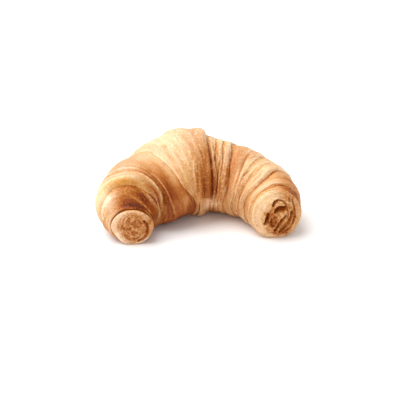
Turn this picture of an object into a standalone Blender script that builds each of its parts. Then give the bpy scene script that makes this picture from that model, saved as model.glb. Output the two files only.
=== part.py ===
"""A whole apricot cornetto: a crescent of rolled, layered dough with its filling baked in.

Metres, +Z up. The long way runs along X, the bay between the two arms opens towards -Y, and
the origin is the middle of the footprint, on the surface that the cornetto rests on.
A place on the dough is named by two numbers. "along" is measured on the roll's middle line
from the crown of the crescent, in millimetres, negative towards the left tip. "round" is the
angle about that line in degrees: 0 faces the bay, 90 is the top, 180 the outer side.
"""

from typing import NamedTuple

import bmesh
import bpy
import numpy as np

MM = 0.001

# The angles round the roll at which it is divided: start, end and number of equal steps.
ROUND_RUNS = ((-60.0, -30.0, 3), (-30.0, 102.0, 24), (102.0, 240.0, 16), (240.0, 300.0, 5))
SPINE_STEPS = 40
EASING_MM = 4.5
STEP_WIDTH = 0.45
LEAST_BAND = 2.2
NARROW_ROWS = (0.0, 0.15, 0.58, 1.0)
WIDE_ROWS = (0.0, 0.06, 0.2, 0.42, 0.66, 0.88, 1.0)
WIDE_BAND = 10.0

# The roll is pressed flat where it rests: this share of each half height is below the floor.
# Towards the left tip, over this length in mm, it rises to rest on its round underside.
SUNK_SHARE = 0.08
TIP_SUNK_SHARE = 0.015
TIP_LIFT_LENGTH = 16.0

# The middle line with the roll's girth on the way: x, y, half width, half height, all in mm.
STATIONS = (
    (-47.6, -42.8, 16.0, 13.7),
    (-47.8, -37.4, 14.8, 14.0),
    (-50.2, -31.0, 20.0, 18.4),
    (-50.8, -20.7, 22.9, 22.4),
    (-45.5, -8.8, 27.3, 24.5),
    (-31.6, 1.9, 30.9, 25.8),
    (-15.8, 12.3, 31.3, 28.9),
    (0.0, 17.2, 29.2, 28.4),
    (18.2, 15.4, 27.6, 25.8),
    (35.3, 6.7, 25.8, 23.6),
    (47.1, -7.3, 23.0, 21.9),
    (52.4, -21.3, 19.7, 20.5),
    (53.9, -33.1, 17.1, 19.4),
)
CROWN = 7

# The angles round the roll at which each edge of dough is placed.
EDGE_ANGLES = (-30.0, 15.0, 60.0, 105.0, 180.0, 230.0)


class Band(NamedTuple):
    """A strip of dough, from the edge where it starts to the start of the next strip.

    starts: the edge's place along the roll at each of EDGE_ANGLES, in mm.
    rise: how far the strip stands above the mean roll at its start and at its end, in mm.
    """

    name: str
    starts: tuple[float, ...]
    rise: tuple[float, float]


BANDS = (
    Band("sleeve end", (-85.3, -85.6, -85.3, -84.6, -84.0, -84.0), (0.9, -0.2)),
    Band("cuff", (-80.0, -80.5, -78.5, -76.5, -77.5, -77.5), (0.5, -0.9)),
    Band("third wrap", (-68.0, -71.0, -71.5, -72.0, -72.0, -72.0), (1.2, -0.5)),
    Band("second leaf", (-41.0, -49.5, -56.5, -60.0, -61.0, -60.0), (0.7, -0.2)),
    Band("second wrap", (-38.0, -45.5, -51.0, -54.0, -55.5, -55.0), (0.9, -2.2)),
    Band("pale wrap", (-17.0, -30.0, -34.8, -39.5, -44.0, -43.0), (1.9, 2.7)),
    Band("tongue", (-10.0, -24.0, -26.5, -25.0, -27.0, -27.0), (3.3, 3.0)),
    Band("tongue fold", (-4.0, -17.5, -16.5, -11.5, -12.0, -12.0), (3.9, 4.4)),
    Band("first pleat", (9.5, 13.0, 6.8, 4.0, 7.0, 8.0), (-0.9, 0.4)),
    Band("second pleat", (14.0, 20.0, 13.5, 10.5, 12.5, 13.5), (-0.6, 0.6)),
    Band("third pleat", (20.0, 25.5, 20.5, 14.5, 17.5, 18.5), (-0.6, 1.3)),
    Band("smooth wrap", (26.0, 34.5, 27.3, 20.0, 24.0, 25.0), (-2.1, 0.8)),
    Band("fine leaf", (41.0, 48.0, 41.5, 35.0, 35.0, 35.5), (-0.6, 0.6)),
    Band("finer leaf", (48.0, 52.0, 48.5, 41.5, 42.0, 42.5), (-0.5, 0.5)),
    Band("broad leaf", (54.0, 56.5, 55.5, 48.5, 48.5, 49.0), (-0.5, 1.2)),
    Band("outer wrap", (62.0, 65.0, 65.0, 57.0, 56.5, 57.5), (-1.9, 0.8)),
    Band("last leaf", (73.0, 76.5, 77.0, 75.0, 73.5, 73.0), (-0.7, 0.4)),
)
# Strips up to the tongue turn their free edge to the left tip, and those from it to the right.
TONGUE = 6
TONGUE_FOLD = 7
FREE_EDGE_DROP = 0.35
PUFF_SHARE = 0.05
MOST_PUFF = 0.6

# The tongue's own tip ends on the side that faces the bay.
TONGUE_END_LOW = -11.0
TONGUE_END_HIGH = -3.0
TONGUE_RISE_BELOW = 0.2
# Beneath the tongue's tip the pale wrap thins to this share of its rise.
PALE_WRAP_LOW_SHARE = 0.45

# Unevenness of the baked dough: height in mm, waves along the roll, waves round it, phase.
SWELLS = ((0.35, 5, 2, 0.4), (0.3, 9, -3, 2.1), (0.22, 14, 4, 4.0), (0.18, 23, 1, 1.2))
EDGE_WAVES = ((0.45, 3, 1.7), (0.3, 7, 2.9))


class Dent(NamedTuple):
    """A soft hollow in the roll: where it is, its depth in mm and how far it reaches."""

    name: str
    along: float
    round_deg: float
    depth: float
    reach: float
    spread: float


DENTS = (
    Dent("above the knob", -76.0, 52.0, 1.8, 5.0, 26.0),
    Dent("beside the knob", -66.0, 6.0, 1.6, 7.0, 22.0),
    Dent("back of the right arm", 44.0, 112.0, 1.2, 5.0, 24.0),
    Dent("under the pale wrap", -38.0, 28.0, 1.2, 6.0, 22.0),
)


class Groove(NamedTuple):
    """A gap between two turns of dough in an end face.

    depth, width: in mm.
    path: radius in mm and angle round the roll in degrees, from the middle of the scroll.
    """

    name: str
    depth: float
    width: float
    path: tuple[tuple[float, float], ...]


# The faces of the two ends. shares: the rings from rim to middle as shares of the radius.
# middle: where the scroll's own middle is, in mm towards angle 0 and towards the top.
# roundness: the power of the bulge's falling off, so that a higher one keeps the face flatter.
KNOB_SHARES = (0.95, 0.89, 0.82, 0.75, 0.68, 0.6, 0.52, 0.44, 0.36, 0.28, 0.19, 0.1, 0.0)
KNOB_BULGE = 2.0
KNOB_ROUNDNESS = 4.0
KNOB_MIDDLE = (1.0, 0.5)
KNOB_GROOVES = (
    Groove("crescent", 3.0, 1.2, ((9.6, 45.0), (10.6, 10.0), (10.8, -25.0), (9.8, -70.0))),
    Groove("upper turn", 1.8, 1.1, ((8.4, 80.0), (8.8, 120.0), (9.2, 165.0), (9.0, 215.0))),
    Groove("lower turn", 1.8, 1.0, ((5.8, 200.0), (5.8, 250.0), (5.6, 300.0), (5.4, 350.0))),
    Groove("upper pit", 2.6, 1.1, ((5.2, 60.0), (4.6, 100.0))),
    Groove("middle pit", 2.4, 1.0, ((3.0, -95.0), (2.0, -30.0))),
)

SCROLL_SHARES = (0.96, 0.91, 0.86, 0.8, 0.74, 0.68, 0.62, 0.56, 0.49, 0.42, 0.35, 0.28, 0.2, 0.1, 0.0)
SCROLL_BULGE = 4.4
SCROLL_ROUNDNESS = 2.4
SCROLL_MIDDLE = (4.2, -2.6)
SCROLL_GROOVES = (
    Groove("long gap", 5.5, 1.3, ((16.0, 123.0), (13.6, 150.0), (9.4, 182.0), (8.0, 250.0))),
    Groove("left pocket", 6.0, 1.5, ((5.4, -28.0), (4.8, 40.0))),
    Groove("top pocket", 6.0, 1.5, ((12.6, 84.0), (13.2, 108.0))),
    Groove("middle pocket", 6.0, 1.7, ((8.4, 104.0), (10.0, 136.0))),
    Groove("heart", 2.4, 1.2, ((2.6, 190.0), (2.0, 330.0))),
    Groove("second turn", 3.0, 1.0, ((16.6, 160.0), (13.2, 186.0), (11.2, 222.0), (12.8, 257.0))),
    Groove("outer turn", 2.2, 1.0, ((19.8, 157.0), (16.6, 193.0), (15.2, 231.0))),
)
GROOVE_STEPS = 24

CRUST_COLOUR = (0.70, 0.43, 0.21, 1.0)
CRUST_ROUGHNESS = 0.55


def slopes(knots, values):
    """The slope at each knot of a smooth curve through the values."""
    return np.gradient(values, knots, axis=0)


def smooth_through(knots, values, at):
    """Reads, at the given places, the smooth curve that passes through the values."""
    knots = np.asarray(knots, float)
    values = np.asarray(values, float)
    tangents = slopes(knots, values)
    left = np.clip(np.searchsorted(knots, at, side="right") - 1, 0, len(knots) - 2)
    width = knots[left + 1] - knots[left]
    share = (at - knots[left]) / width
    extra = (1,) * (values.ndim - 1)
    share = share.reshape(share.shape + extra)
    width = width.reshape(width.shape + extra)
    return (
        (2 * share**3 - 3 * share**2 + 1) * values[left]
        + (share**3 - 2 * share**2 + share) * width * tangents[left]
        + (3 * share**2 - 2 * share**3) * values[left + 1]
        + (share**3 - share**2) * width * tangents[left + 1]
    )


def smooth_step(value, low, high):
    """0 below low, 1 above high, and an even S curve between them."""
    share = np.clip((value - low) / (high - low), 0.0, 1.0)
    return share * share * (3 - 2 * share)


def round_angles():
    """The angles round the roll at which it is divided, in degrees."""
    runs = [np.linspace(low, high, count, endpoint=False) for low, high, count in ROUND_RUNS]
    return np.concatenate(runs)


def eased(places, along):
    """The middle line's places with their bends evened out over EASING_MM along the line."""
    reach = 3 * EASING_MM
    step = 0.5
    even = np.arange(along[0] - reach, along[-1] + reach + step, step)
    weights = np.exp(-0.5 * (np.arange(-reach, reach + step, step) / EASING_MM) ** 2)
    weights /= weights.sum()
    result = []
    for place in places.T:
        start_slope = (place[4] - place[0]) / (along[4] - along[0])
        end_slope = (place[-1] - place[-5]) / (along[-1] - along[-5])
        before = np.minimum(even - along[0], 0.0) * start_slope
        after = np.maximum(even - along[-1], 0.0) * end_slope
        extended = np.interp(even, along, place) + before + after
        result.append(np.interp(along, even, np.convolve(extended, weights, mode="same")))
    return np.stack(result, axis=-1)


class Roll:
    """The plain roll, before its strips of dough: its middle line and its girth."""

    def __init__(self):
        knots = np.arange(len(STATIONS), dtype=float)
        fine = np.linspace(0, knots[-1], SPINE_STEPS * (len(STATIONS) - 1) + 1)
        line = smooth_through(knots, STATIONS, fine)
        steps = np.linalg.norm(np.diff(line[:, :2], axis=0), axis=1)
        lengths = np.concatenate([[0.0], np.cumsum(steps)])
        line[:, :2] = eased(line[:, :2], lengths)
        self.along = lengths - lengths[CROWN * SPINE_STEPS]
        self.left_end = self.along[0]
        self.right_end = self.along[-1]
        heading = np.gradient(line[:, :2], self.along, axis=0)
        heading /= np.linalg.norm(heading, axis=1)[:, None]
        self.table = np.column_stack([line, heading])

    def read(self, along):
        """x, y, half width, half height and the heading's x and y at places along the line."""
        columns = [np.interp(along, self.along, self.table[:, n]) for n in range(6)]
        return np.stack(columns, axis=-1)

    def middle_height(self, along):
        """How high the roll's middle is above the floor, in mm."""
        lifted = smooth_step(along - self.left_end, TIP_LIFT_LENGTH, 0.0)
        sunk = SUNK_SHARE + (TIP_SUNK_SHARE - SUNK_SHARE) * lifted
        return self.read(along)[..., 3] * (1 - sunk)

    def hollow(self, along, round_deg):
        """How deep the soft hollows press the dough in, in mm."""
        total = np.zeros(np.broadcast(along, round_deg).shape)
        for dent in DENTS:
            away = (round_deg - dent.round_deg + 180.0) % 360.0 - 180.0
            far = ((along - dent.along) / dent.reach) ** 2 + (away / dent.spread) ** 2
            total += dent.depth * np.exp(-far)
        return total

    def swell(self, along, round_deg):
        """The slow unevenness of the dough, in mm, which dies away at the two ends."""
        span = self.right_end - self.left_end
        place = (along - self.left_end) / span
        turn = np.radians(round_deg)
        total = np.zeros(np.broadcast(along, round_deg).shape)
        for height, waves_along, waves_round, phase in SWELLS:
            total += height * np.sin(2 * np.pi * waves_along * place + waves_round * turn + phase)
        return total * smooth_step(place, 0.0, 0.08) * smooth_step(place, 1.0, 0.92)

    def point(self, along, round_deg, rise, radius_share=1.0, push=0.0):
        """Points on the roll, in mm: raised off it, drawn in to its middle or pushed endwise."""
        x, y, half_width, half_height, head_x, head_y = np.moveaxis(self.read(along), -1, 0)
        turn = np.radians(round_deg)
        rise = rise + self.swell(along, round_deg) - self.hollow(along, round_deg)
        sideways = (half_width + rise) * radius_share * np.cos(turn)
        upwards = (half_height + rise) * radius_share * np.sin(turn)
        level = self.middle_height(along) + upwards
        across = x + head_y * sideways + head_x * push
        inward = y - head_x * sideways + head_y * push
        return np.stack([across, inward, np.maximum(level, 0.0)], axis=-1)


def edge_lines(roll, round_deg):
    """Where each strip starts at each angle, with the roll's two ends as first and last."""
    knots = np.array([EDGE_ANGLES[-1] - 360.0, *EDGE_ANGLES, EDGE_ANGLES[0] + 360.0])
    turn = np.radians(round_deg)
    lines = [np.full(len(round_deg), roll.left_end)]
    for number, band in enumerate(BANDS):
        closed = (band.starts[-1], *band.starts, band.starts[0])
        line = smooth_through(knots, closed, round_deg)
        for width, waves, phase in EDGE_WAVES:
            line = line + width * np.sin(waves * turn + phase * number)
        lines.append(np.maximum(line, lines[-1] + LEAST_BAND))
    lines.append(np.full(len(round_deg), roll.right_end))
    for n in range(len(lines) - 2, 0, -1):
        lines[n] = np.minimum(lines[n], lines[n + 1] - LEAST_BAND)
    return lines


def tongue_shown(round_deg):
    """1 where the tongue covers the roll and 0 below its tip, on the bay's side and beneath."""
    facing = (round_deg + 90.0) % 360.0 - 90.0
    return smooth_step(facing, TONGUE_END_LOW, TONGUE_END_HIGH)


def band_rise(number, share, width, round_deg):
    """How far strip number stands off the roll, at a share of its width."""
    band = BANDS[number]
    puff = np.minimum(width * PUFF_SHARE, MOST_PUFF)
    rise = band.rise[0] + (band.rise[1] - band.rise[0]) * share + 4 * puff * share * (1 - share)
    if number <= TONGUE_FOLD:
        rise = rise - FREE_EDGE_DROP * (share == 0.0)
    if number >= TONGUE_FOLD:
        rise = rise - FREE_EDGE_DROP * (share == 1.0)
    if number == TONGUE - 1:
        facing = (round_deg + 90.0) % 360.0 - 90.0
        rise = rise * (PALE_WRAP_LOW_SHARE + (1 - PALE_WRAP_LOW_SHARE) * smooth_step(facing, -30.0, 15.0))
    if number in (TONGUE, TONGUE_FOLD):
        rise = TONGUE_RISE_BELOW + (rise - TONGUE_RISE_BELOW) * tongue_shown(round_deg)
    return rise


def body_rows(roll, round_deg):
    """The rows of points along the roll, from the left tip's rim to the right end's rim."""
    lines = edge_lines(roll, round_deg)
    rows = []
    for number in range(-1, len(BANDS)):
        start, end = lines[number + 1], lines[number + 2]
        gap = 0.0 if number == len(BANDS) - 1 else STEP_WIDTH
        width = end - start - gap
        for share in WIDE_ROWS if width.mean() > WIDE_BAND else NARROW_ROWS:
            rise = np.zeros(len(round_deg))
            if number >= 0:
                rise = band_rise(number, share, width, round_deg)
            rows.append(roll.point(start + width * share, round_deg, rise))
    return rows


def groove_depth(grooves, across, upward):
    """How deep the grooves cut at places on an end face, in mm. Crossing grooves don't add up."""
    deepest = np.zeros(across.shape)
    for groove in grooves:
        knots = np.arange(len(groove.path), dtype=float)
        stops = np.linspace(0.0, knots[-1], GROOVE_STEPS)
        radius, angle = smooth_through(knots, groove.path, stops).T
        turn = np.radians(angle)
        aside = across[..., None] - radius * np.cos(turn)
        above = upward[..., None] - radius * np.sin(turn)
        nearest = np.min(aside**2 + above**2, axis=-1)
        deepest = np.maximum(deepest, groove.depth * np.exp(-nearest / groove.width**2))
    return deepest


def face_rows(roll, round_deg, at_left):
    """The rows of points over one end face, from its rim to its middle."""
    end = roll.left_end if at_left else roll.right_end
    shares = KNOB_SHARES if at_left else SCROLL_SHARES
    bulge = KNOB_BULGE if at_left else SCROLL_BULGE
    roundness = KNOB_ROUNDNESS if at_left else SCROLL_ROUNDNESS
    middle = KNOB_MIDDLE if at_left else SCROLL_MIDDLE
    grooves = KNOB_GROOVES if at_left else SCROLL_GROOVES
    along = np.full(len(round_deg), end)
    rim_rise = 0.0 if at_left else BANDS[-1].rise[1] - FREE_EDGE_DROP
    half_width, half_height = roll.read(along)[..., 2:4].T + rim_rise
    turn = np.radians(round_deg)
    rows = []
    for share in shares:
        across = half_width * share * np.cos(turn) - middle[0]
        upward = half_height * share * np.sin(turn) - middle[1]
        cut = groove_depth(grooves, across, upward) * smooth_step(share, 1.0, 0.88)
        out = bulge * (1 - share**roundness) - cut
        push = -out if at_left else out
        rise = np.full(len(round_deg), rim_rise)
        rows.append(roll.point(along, round_deg, rise, share, push))
    rows[-1][:] = rows[-1].mean(axis=0)
    return rows


def wrap_grid(name, rows):
    """A closed skin over the rows: a flat grid wrapped round the roll, its ends drawn shut."""
    skin = bmesh.new()
    sides = len(rows[0])
    bmesh.ops.create_grid(skin, x_segments=len(rows) - 1, y_segments=sides, size=0.5)
    for vertex in skin.verts:
        row = round((vertex.co.x + 0.5) * (len(rows) - 1))
        side = round((vertex.co.y + 0.5) * sides) % sides
        vertex.co = rows[row][side] * MM
    bmesh.ops.remove_doubles(skin, verts=skin.verts, dist=1e-7)
    bmesh.ops.recalc_face_normals(skin, faces=skin.faces)
    mesh = bpy.data.meshes.new(name)
    skin.to_mesh(mesh)
    skin.free()
    mesh.shade_smooth()
    return mesh


def crust_material():
    """The baked crust's plain colour."""
    material = bpy.data.materials.new("baked_crust")
    material.use_nodes = True
    shader = material.node_tree.nodes["Principled BSDF"]
    shader.inputs["Base Color"].default_value = CRUST_COLOUR
    shader.inputs["Roughness"].default_value = CRUST_ROUGHNESS
    shader.inputs["Metallic"].default_value = 0.0
    return material


def make_cornetto():
    """The one solid: the roll with its strips, the knob at the left tip and the open scroll."""
    roll = Roll()
    round_deg = round_angles()
    knob = face_rows(roll, round_deg, at_left=True)
    scroll = face_rows(roll, round_deg, at_left=False)
    rows = knob[::-1] + body_rows(roll, round_deg) + scroll
    every_point = np.array(rows)
    low, high = every_point.min(axis=(0, 1)), every_point.max(axis=(0, 1))
    centre = np.array([(low[0] + high[0]) / 2, (low[1] + high[1]) / 2, 0.0])
    mesh = wrap_grid("cornetto", [row - centre for row in rows])
    mesh.materials.append(crust_material())
    cornetto = bpy.data.objects.new("cornetto", mesh)
    bpy.context.scene.collection.objects.link(cornetto)
    return cornetto


def main():
    """Clears the scene and builds the cornetto."""
    for thing in list(bpy.data.objects):
        bpy.data.objects.remove(thing)
    make_cornetto()


main()
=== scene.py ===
"""Dresses the apricot cornetto: a crescent of rolled, layered dough, baked golden.

A place on the dough is named by two numbers. "along" is measured on the roll's middle line
from the crown of the crescent, in millimetres, negative towards the left tip. "round" is the
angle about that line in degrees: 0 faces the bay, 90 is the top and 180 the outer side.
Every other size is in millimetres too, unless its name or its docstring says otherwise.
"""

import logging
import math
from collections.abc import Callable
from dataclasses import dataclass
from enum import Enum

import bmesh
import bpy
import numpy as np
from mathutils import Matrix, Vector
from numpy.typing import ArrayLike


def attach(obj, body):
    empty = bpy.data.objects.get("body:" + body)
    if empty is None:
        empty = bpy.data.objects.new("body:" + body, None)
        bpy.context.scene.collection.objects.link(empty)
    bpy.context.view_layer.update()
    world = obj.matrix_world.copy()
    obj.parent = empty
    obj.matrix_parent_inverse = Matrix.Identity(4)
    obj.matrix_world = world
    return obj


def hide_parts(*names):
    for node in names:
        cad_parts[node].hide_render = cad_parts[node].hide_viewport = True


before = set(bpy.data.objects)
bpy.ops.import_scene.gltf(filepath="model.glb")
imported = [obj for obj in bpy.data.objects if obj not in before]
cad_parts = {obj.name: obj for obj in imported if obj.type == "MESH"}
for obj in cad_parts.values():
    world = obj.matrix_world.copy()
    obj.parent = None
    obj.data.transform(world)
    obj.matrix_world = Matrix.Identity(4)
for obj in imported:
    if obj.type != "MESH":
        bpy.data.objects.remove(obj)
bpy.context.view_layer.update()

LOG = logging.getLogger("cornetto")
NODE = "cornetto"
MM = 0.001
# The middle of the footprint, in the millimetres in which the stations are given.
FOOTPRINT_MIDDLE = (-0.936, 2.57)
Array = np.ndarray
# Two numbers, such as a place along the roll and round it.
Pair = tuple[float, float]
# So far from an edge, in mm, the edge makes no difference.
FAR = 99.0


def linear(hex_colour: str) -> tuple[float, float, float, float]:
    """Turns an sRGB colour into the linear values that a shader takes.

    Args:
        hex_colour: six hex digits after a hash.

    Returns:
        Red, green, blue and an alpha of 1.
    """
    values = [int(hex_colour[n : n + 2], 16) / 255 for n in (1, 3, 5)]
    red, green, blue = (v / 12.92 if v <= 0.04045 else ((v + 0.055) / 1.055) ** 2.4 for v in values)
    return (red, green, blue, 1.0)


def mix(first: ArrayLike, second: ArrayLike, share: ArrayLike) -> Array:
    """Goes from the first value at a share of 0 to the second at a share of 1."""
    return first + (second - first) * share


def smooth_step(value: Array, low: float, high: float) -> Array:
    """0 below low, 1 above high, and an even S curve between them."""
    share = np.clip((value - low) / (high - low), 0.0, 1.0)
    return share * share * (3 - 2 * share)


def ledge(distance: Array, reach: float) -> Array:
    """1 at no distance, dying away over the reach."""
    return np.exp(-np.maximum(distance, 0.0) / reach)


def turn_from(round_deg: Array, middle: float) -> Array:
    """How far each angle is turned from the middle one, from -180 to 180 degrees."""
    return (round_deg - middle + 180.0) % 360.0 - 180.0


def smooth_through(knots: ArrayLike, values: ArrayLike, at: Array) -> Array:
    """Reads the smooth curve that passes through the values.

    Args:
        knots: where the values hold, rising.
        values: one value, or one row of them, at each knot.
        at: the places to read.

    Returns:
        The curve's value, or row of them, at each place.
    """
    knots = np.asarray(knots, float)
    values = np.asarray(values, float)
    tangents = np.gradient(values, knots, axis=0)
    left = np.clip(np.searchsorted(knots, at, side="right") - 1, 0, len(knots) - 2)
    width = knots[left + 1] - knots[left]
    share = (at - knots[left]) / width
    extra = (1,) * (values.ndim - 1)
    share = share.reshape(share.shape + extra)
    width = width.reshape(width.shape + extra)
    return (
        (2 * share**3 - 3 * share**2 + 1) * values[left]
        + (share**3 - 2 * share**2 + share) * width * tangents[left]
        + (3 * share**2 - 2 * share**3) * values[left + 1]
        + (share**3 - share**2) * width * tangents[left + 1]
    )


def smooth_round(angles: ArrayLike, values: ArrayLike, at: Array) -> Array:
    """Reads the smooth curve through values at angles, which comes round again after a turn."""
    knots = [angles[-1] - 360.0, *angles, angles[0] + 360.0]
    return smooth_through(knots, [values[-1], *values, values[0]], at)


def smooth_path(path: ArrayLike, count: int) -> Array:
    """Draws a path's points: their stops, counted in its places, and both numbers."""
    stops = np.linspace(0.0, len(path) - 1.0, count)
    return np.stack([stops, *smooth_through(np.arange(len(path)), path, stops).T])


class DoughNoise:
    """Smooth seeded noise over points in space, for lumps, streaks and torn edges."""

    def __init__(self, seed: int, size: int = 32) -> None:
        """Draws the lattice of arrows that the noise is read from.

        Args:
            seed: the draw's seed.
            size: the lattice's cells each way before it repeats.
        """
        arrows = np.random.default_rng(seed).normal(size=(size, size, size, 3))
        self.arrows = arrows / np.linalg.norm(arrows, axis=-1, keepdims=True)
        self.size = size

    def at(self, points: Array) -> Array:
        """Reads the noise.

        Args:
            points: places in lattice cells, three numbers each.

        Returns:
            A value from about -1 to 1 for each place.
        """
        cell = np.floor(points).astype(int)
        inside = points - cell
        ease = inside**3 * (inside * (inside * 6 - 15) + 10)
        total = np.zeros(points.shape[:-1])
        for corner in np.ndindex(2, 2, 2):
            index = (cell + np.array(corner)) % self.size
            arrow = self.arrows[index[..., 0], index[..., 1], index[..., 2]]
            weight = np.prod(np.where(np.array(corner), ease, 1 - ease), axis=-1)
            total += weight * ((inside - np.array(corner)) * arrow).sum(axis=-1)
        return total * 1.6

    def layered(self, points: Array, octaves: int) -> Array:
        """Adds finer and weaker copies of the noise to it, each half as large.

        Args:
            points: places in lattice cells, three numbers each.
            octaves: how many copies there are with the first.

        Returns:
            The sum for each place.
        """
        total = np.zeros(points.shape[:-1])
        for octave in range(octaves):
            total += self.at(points * 2.0**octave + 7.3 * octave) * 0.5**octave
        return total


@dataclass(frozen=True)
class Spot:
    """A soft-edged place on the roll.

    along, round_deg: its middle.
    amount: what it gives there, such as a depth or a shade of brown.
    reach: how far it goes along the roll.
    spread: how far it goes round it, in degrees.
    """

    along: float
    round_deg: float
    amount: float
    reach: float
    spread: float


def spots(*rows: tuple[float, float, float, float, float]) -> tuple[Spot, ...]:
    """Makes a spot of each row of numbers."""
    return tuple(Spot(*row) for row in rows)


@dataclass(frozen=True)
class RollSizes:
    """The plain roll's sizes.

    stations: x, y, half width and half height on the way along it.
    crown: which station is the crown.
    steps: how many parts the middle line has from station to station.
    easing, easing_step: over what length its bends are evened out, and in what steps.
    sunk_share, tip_sunk_share: the share of the half height that is pressed flat, and that
    share at the left tip, which rises over tip_lift_length.
    dents: soft hollows and their depths.
    browning_shade_highlight_spots: places that are browner, partly baked browner and partly
    painted shade in the hollow over the knob, on the front of the third wrap's lip, under the
    left arm and on the right arm's outer side turned from the sun; below 0 they are paler,
    partly as a painted highlight on the left sleeve.
    blushes: places that are pinker than plain dough, or yellower below 0; the first tints the
    painted highlight on the left sleeve pink.
    swells: height, waves along the roll, waves round it and phase.
    still_share: the share of its length at either end over which the swells die away.
    """

    stations: tuple[tuple[float, float, float, float], ...] = (
        (-47.6, -42.8, 16, 13.7), (-47.8, -37.4, 14.8, 14), (-50.2, -31, 20, 18.4),
        (-50.8, -20.7, 22.9, 22.4), (-45.5, -8.8, 27.3, 24.5), (-31.6, 1.9, 30.9, 25.8),
        (-15.8, 12.3, 31.3, 28.9), (0, 17.2, 29.2, 28.4), (18.2, 15.4, 27.6, 25.8),
        (35.3, 6.7, 25.8, 23.6), (47.1, -7.3, 23, 21.9), (52.4, -21.3, 19.7, 20.5),
        (53.9, -33.1, 17.1, 19.4),
    )
    crown: int = 7
    steps: int = 40
    easing: float = 4.5
    easing_step: float = 0.5
    sunk_share: float = 0.08
    tip_sunk_share: float = 0.015
    tip_lift_length: float = 16.0
    dents: tuple[Spot, ...] = spots(
        (-76, 52, 1.8, 5, 26), (-66, 6, 1.6, 7, 22), (44, 112, 1.2, 5, 24), (-38, 28, 1.2, 6, 22),
    )
    # Many of these spots are painted shade and highlights: the hollow over the knob's rim, the
    # front of the third wrap's lip, the left arm's underside and the right arm's outer side are
    # darkened as painted shade, and the paler spot on the left sleeve is a painted highlight.
    browning_shade_highlight_spots: tuple[Spot, ...] = spots(
        (-83.8, 86, 0.34, 2.6, 44), (-78, 90, 0.28, 6, 36), (-79, 58, 0.2, 6.5, 20),
        (-82.6, 100, 0.36, 3.4, 24), (-71, 102, 0.21, 1.5, 30), (-84.6, 72, 0.26, 2, 22),
        (-71.5, 135, 0.15, 1.8, 12), (17, -17, -0.28, 9, 13), (-30, -6, -0.22, 6, 14),
        (3, 8, 0.14, 9, 14), (-62, 54, 0.09, 9, 18), (17.5, 14, 0.19, 6, 16),
        (-70, 170, -0.16, 10, 40), (-44, 26, 0.16, 7.5, 24), (-72, -5, -0.14, 8, 20),
        (-75, 138, -0.3, 4, 20), (-77.5, 98, 0.08, 5, 17), (-73.5, 166, -0.14, 2.5, 20),
        (-80, 165, -0.06, 6, 24), (-36, 45, -0.14, 3.5, 30), (-8, 14, 0.16, 7, 18),
        (70, 122, 0.2, 12, 30), (77, 160, 0.26, 12, 34), (80.5, 126, 0.4, 4.5, 32),
        (6, -6, 0.06, 9, 9), (34, 62, 0.14, 6, 34), (-29.2, 86, 0.2, 1.6, 5),
        (-60, 90, 0.06, 9, 40), (46, 104, 0.05, 14, 28), (9, -27, -0.2, 9, 12),
        (-48, -50, 0.1, 14, 11), (-82, 3, 0.18, 3, 14), (4.8, 52, 0.16, 2.6, 16),
        (4.6, 98, -0.22, 3, 16), (-22, 2, 0.12, 4, 14),
    )
    blushes: tuple[Spot, ...] = spots(
        # The first blush tints the painted highlight on the left sleeve pink.
        (-75.5, 132, 1.5, 4.5, 22), (-60, 105, 0.7, 6, 26), (-77.5, 96, -0.7, 5, 24),
        (-5, 84, 1, 7, 18), (12, -15, 0.8, 14, 18), (-71.2, 94, -2.6, 2, 54),
        (-28, 32, -0.8, 5, 16), (14, 84, -0.4, 9, 20), (33, 66, 1.2, 8, 44), (-50, 108, 0.8, 9, 26),
        (54, 96, -0.2, 16, 24), (82, 70, -0.7, 4, 40),
    )
    swells: tuple[tuple[float, int, int, float], ...] = (
        (0.35, 5, 2, 0.4), (0.3, 9, -3, 2.1), (0.22, 14, 4, 4), (0.18, 23, 1, 1.2),
    )
    still_share: float = 0.08


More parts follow.
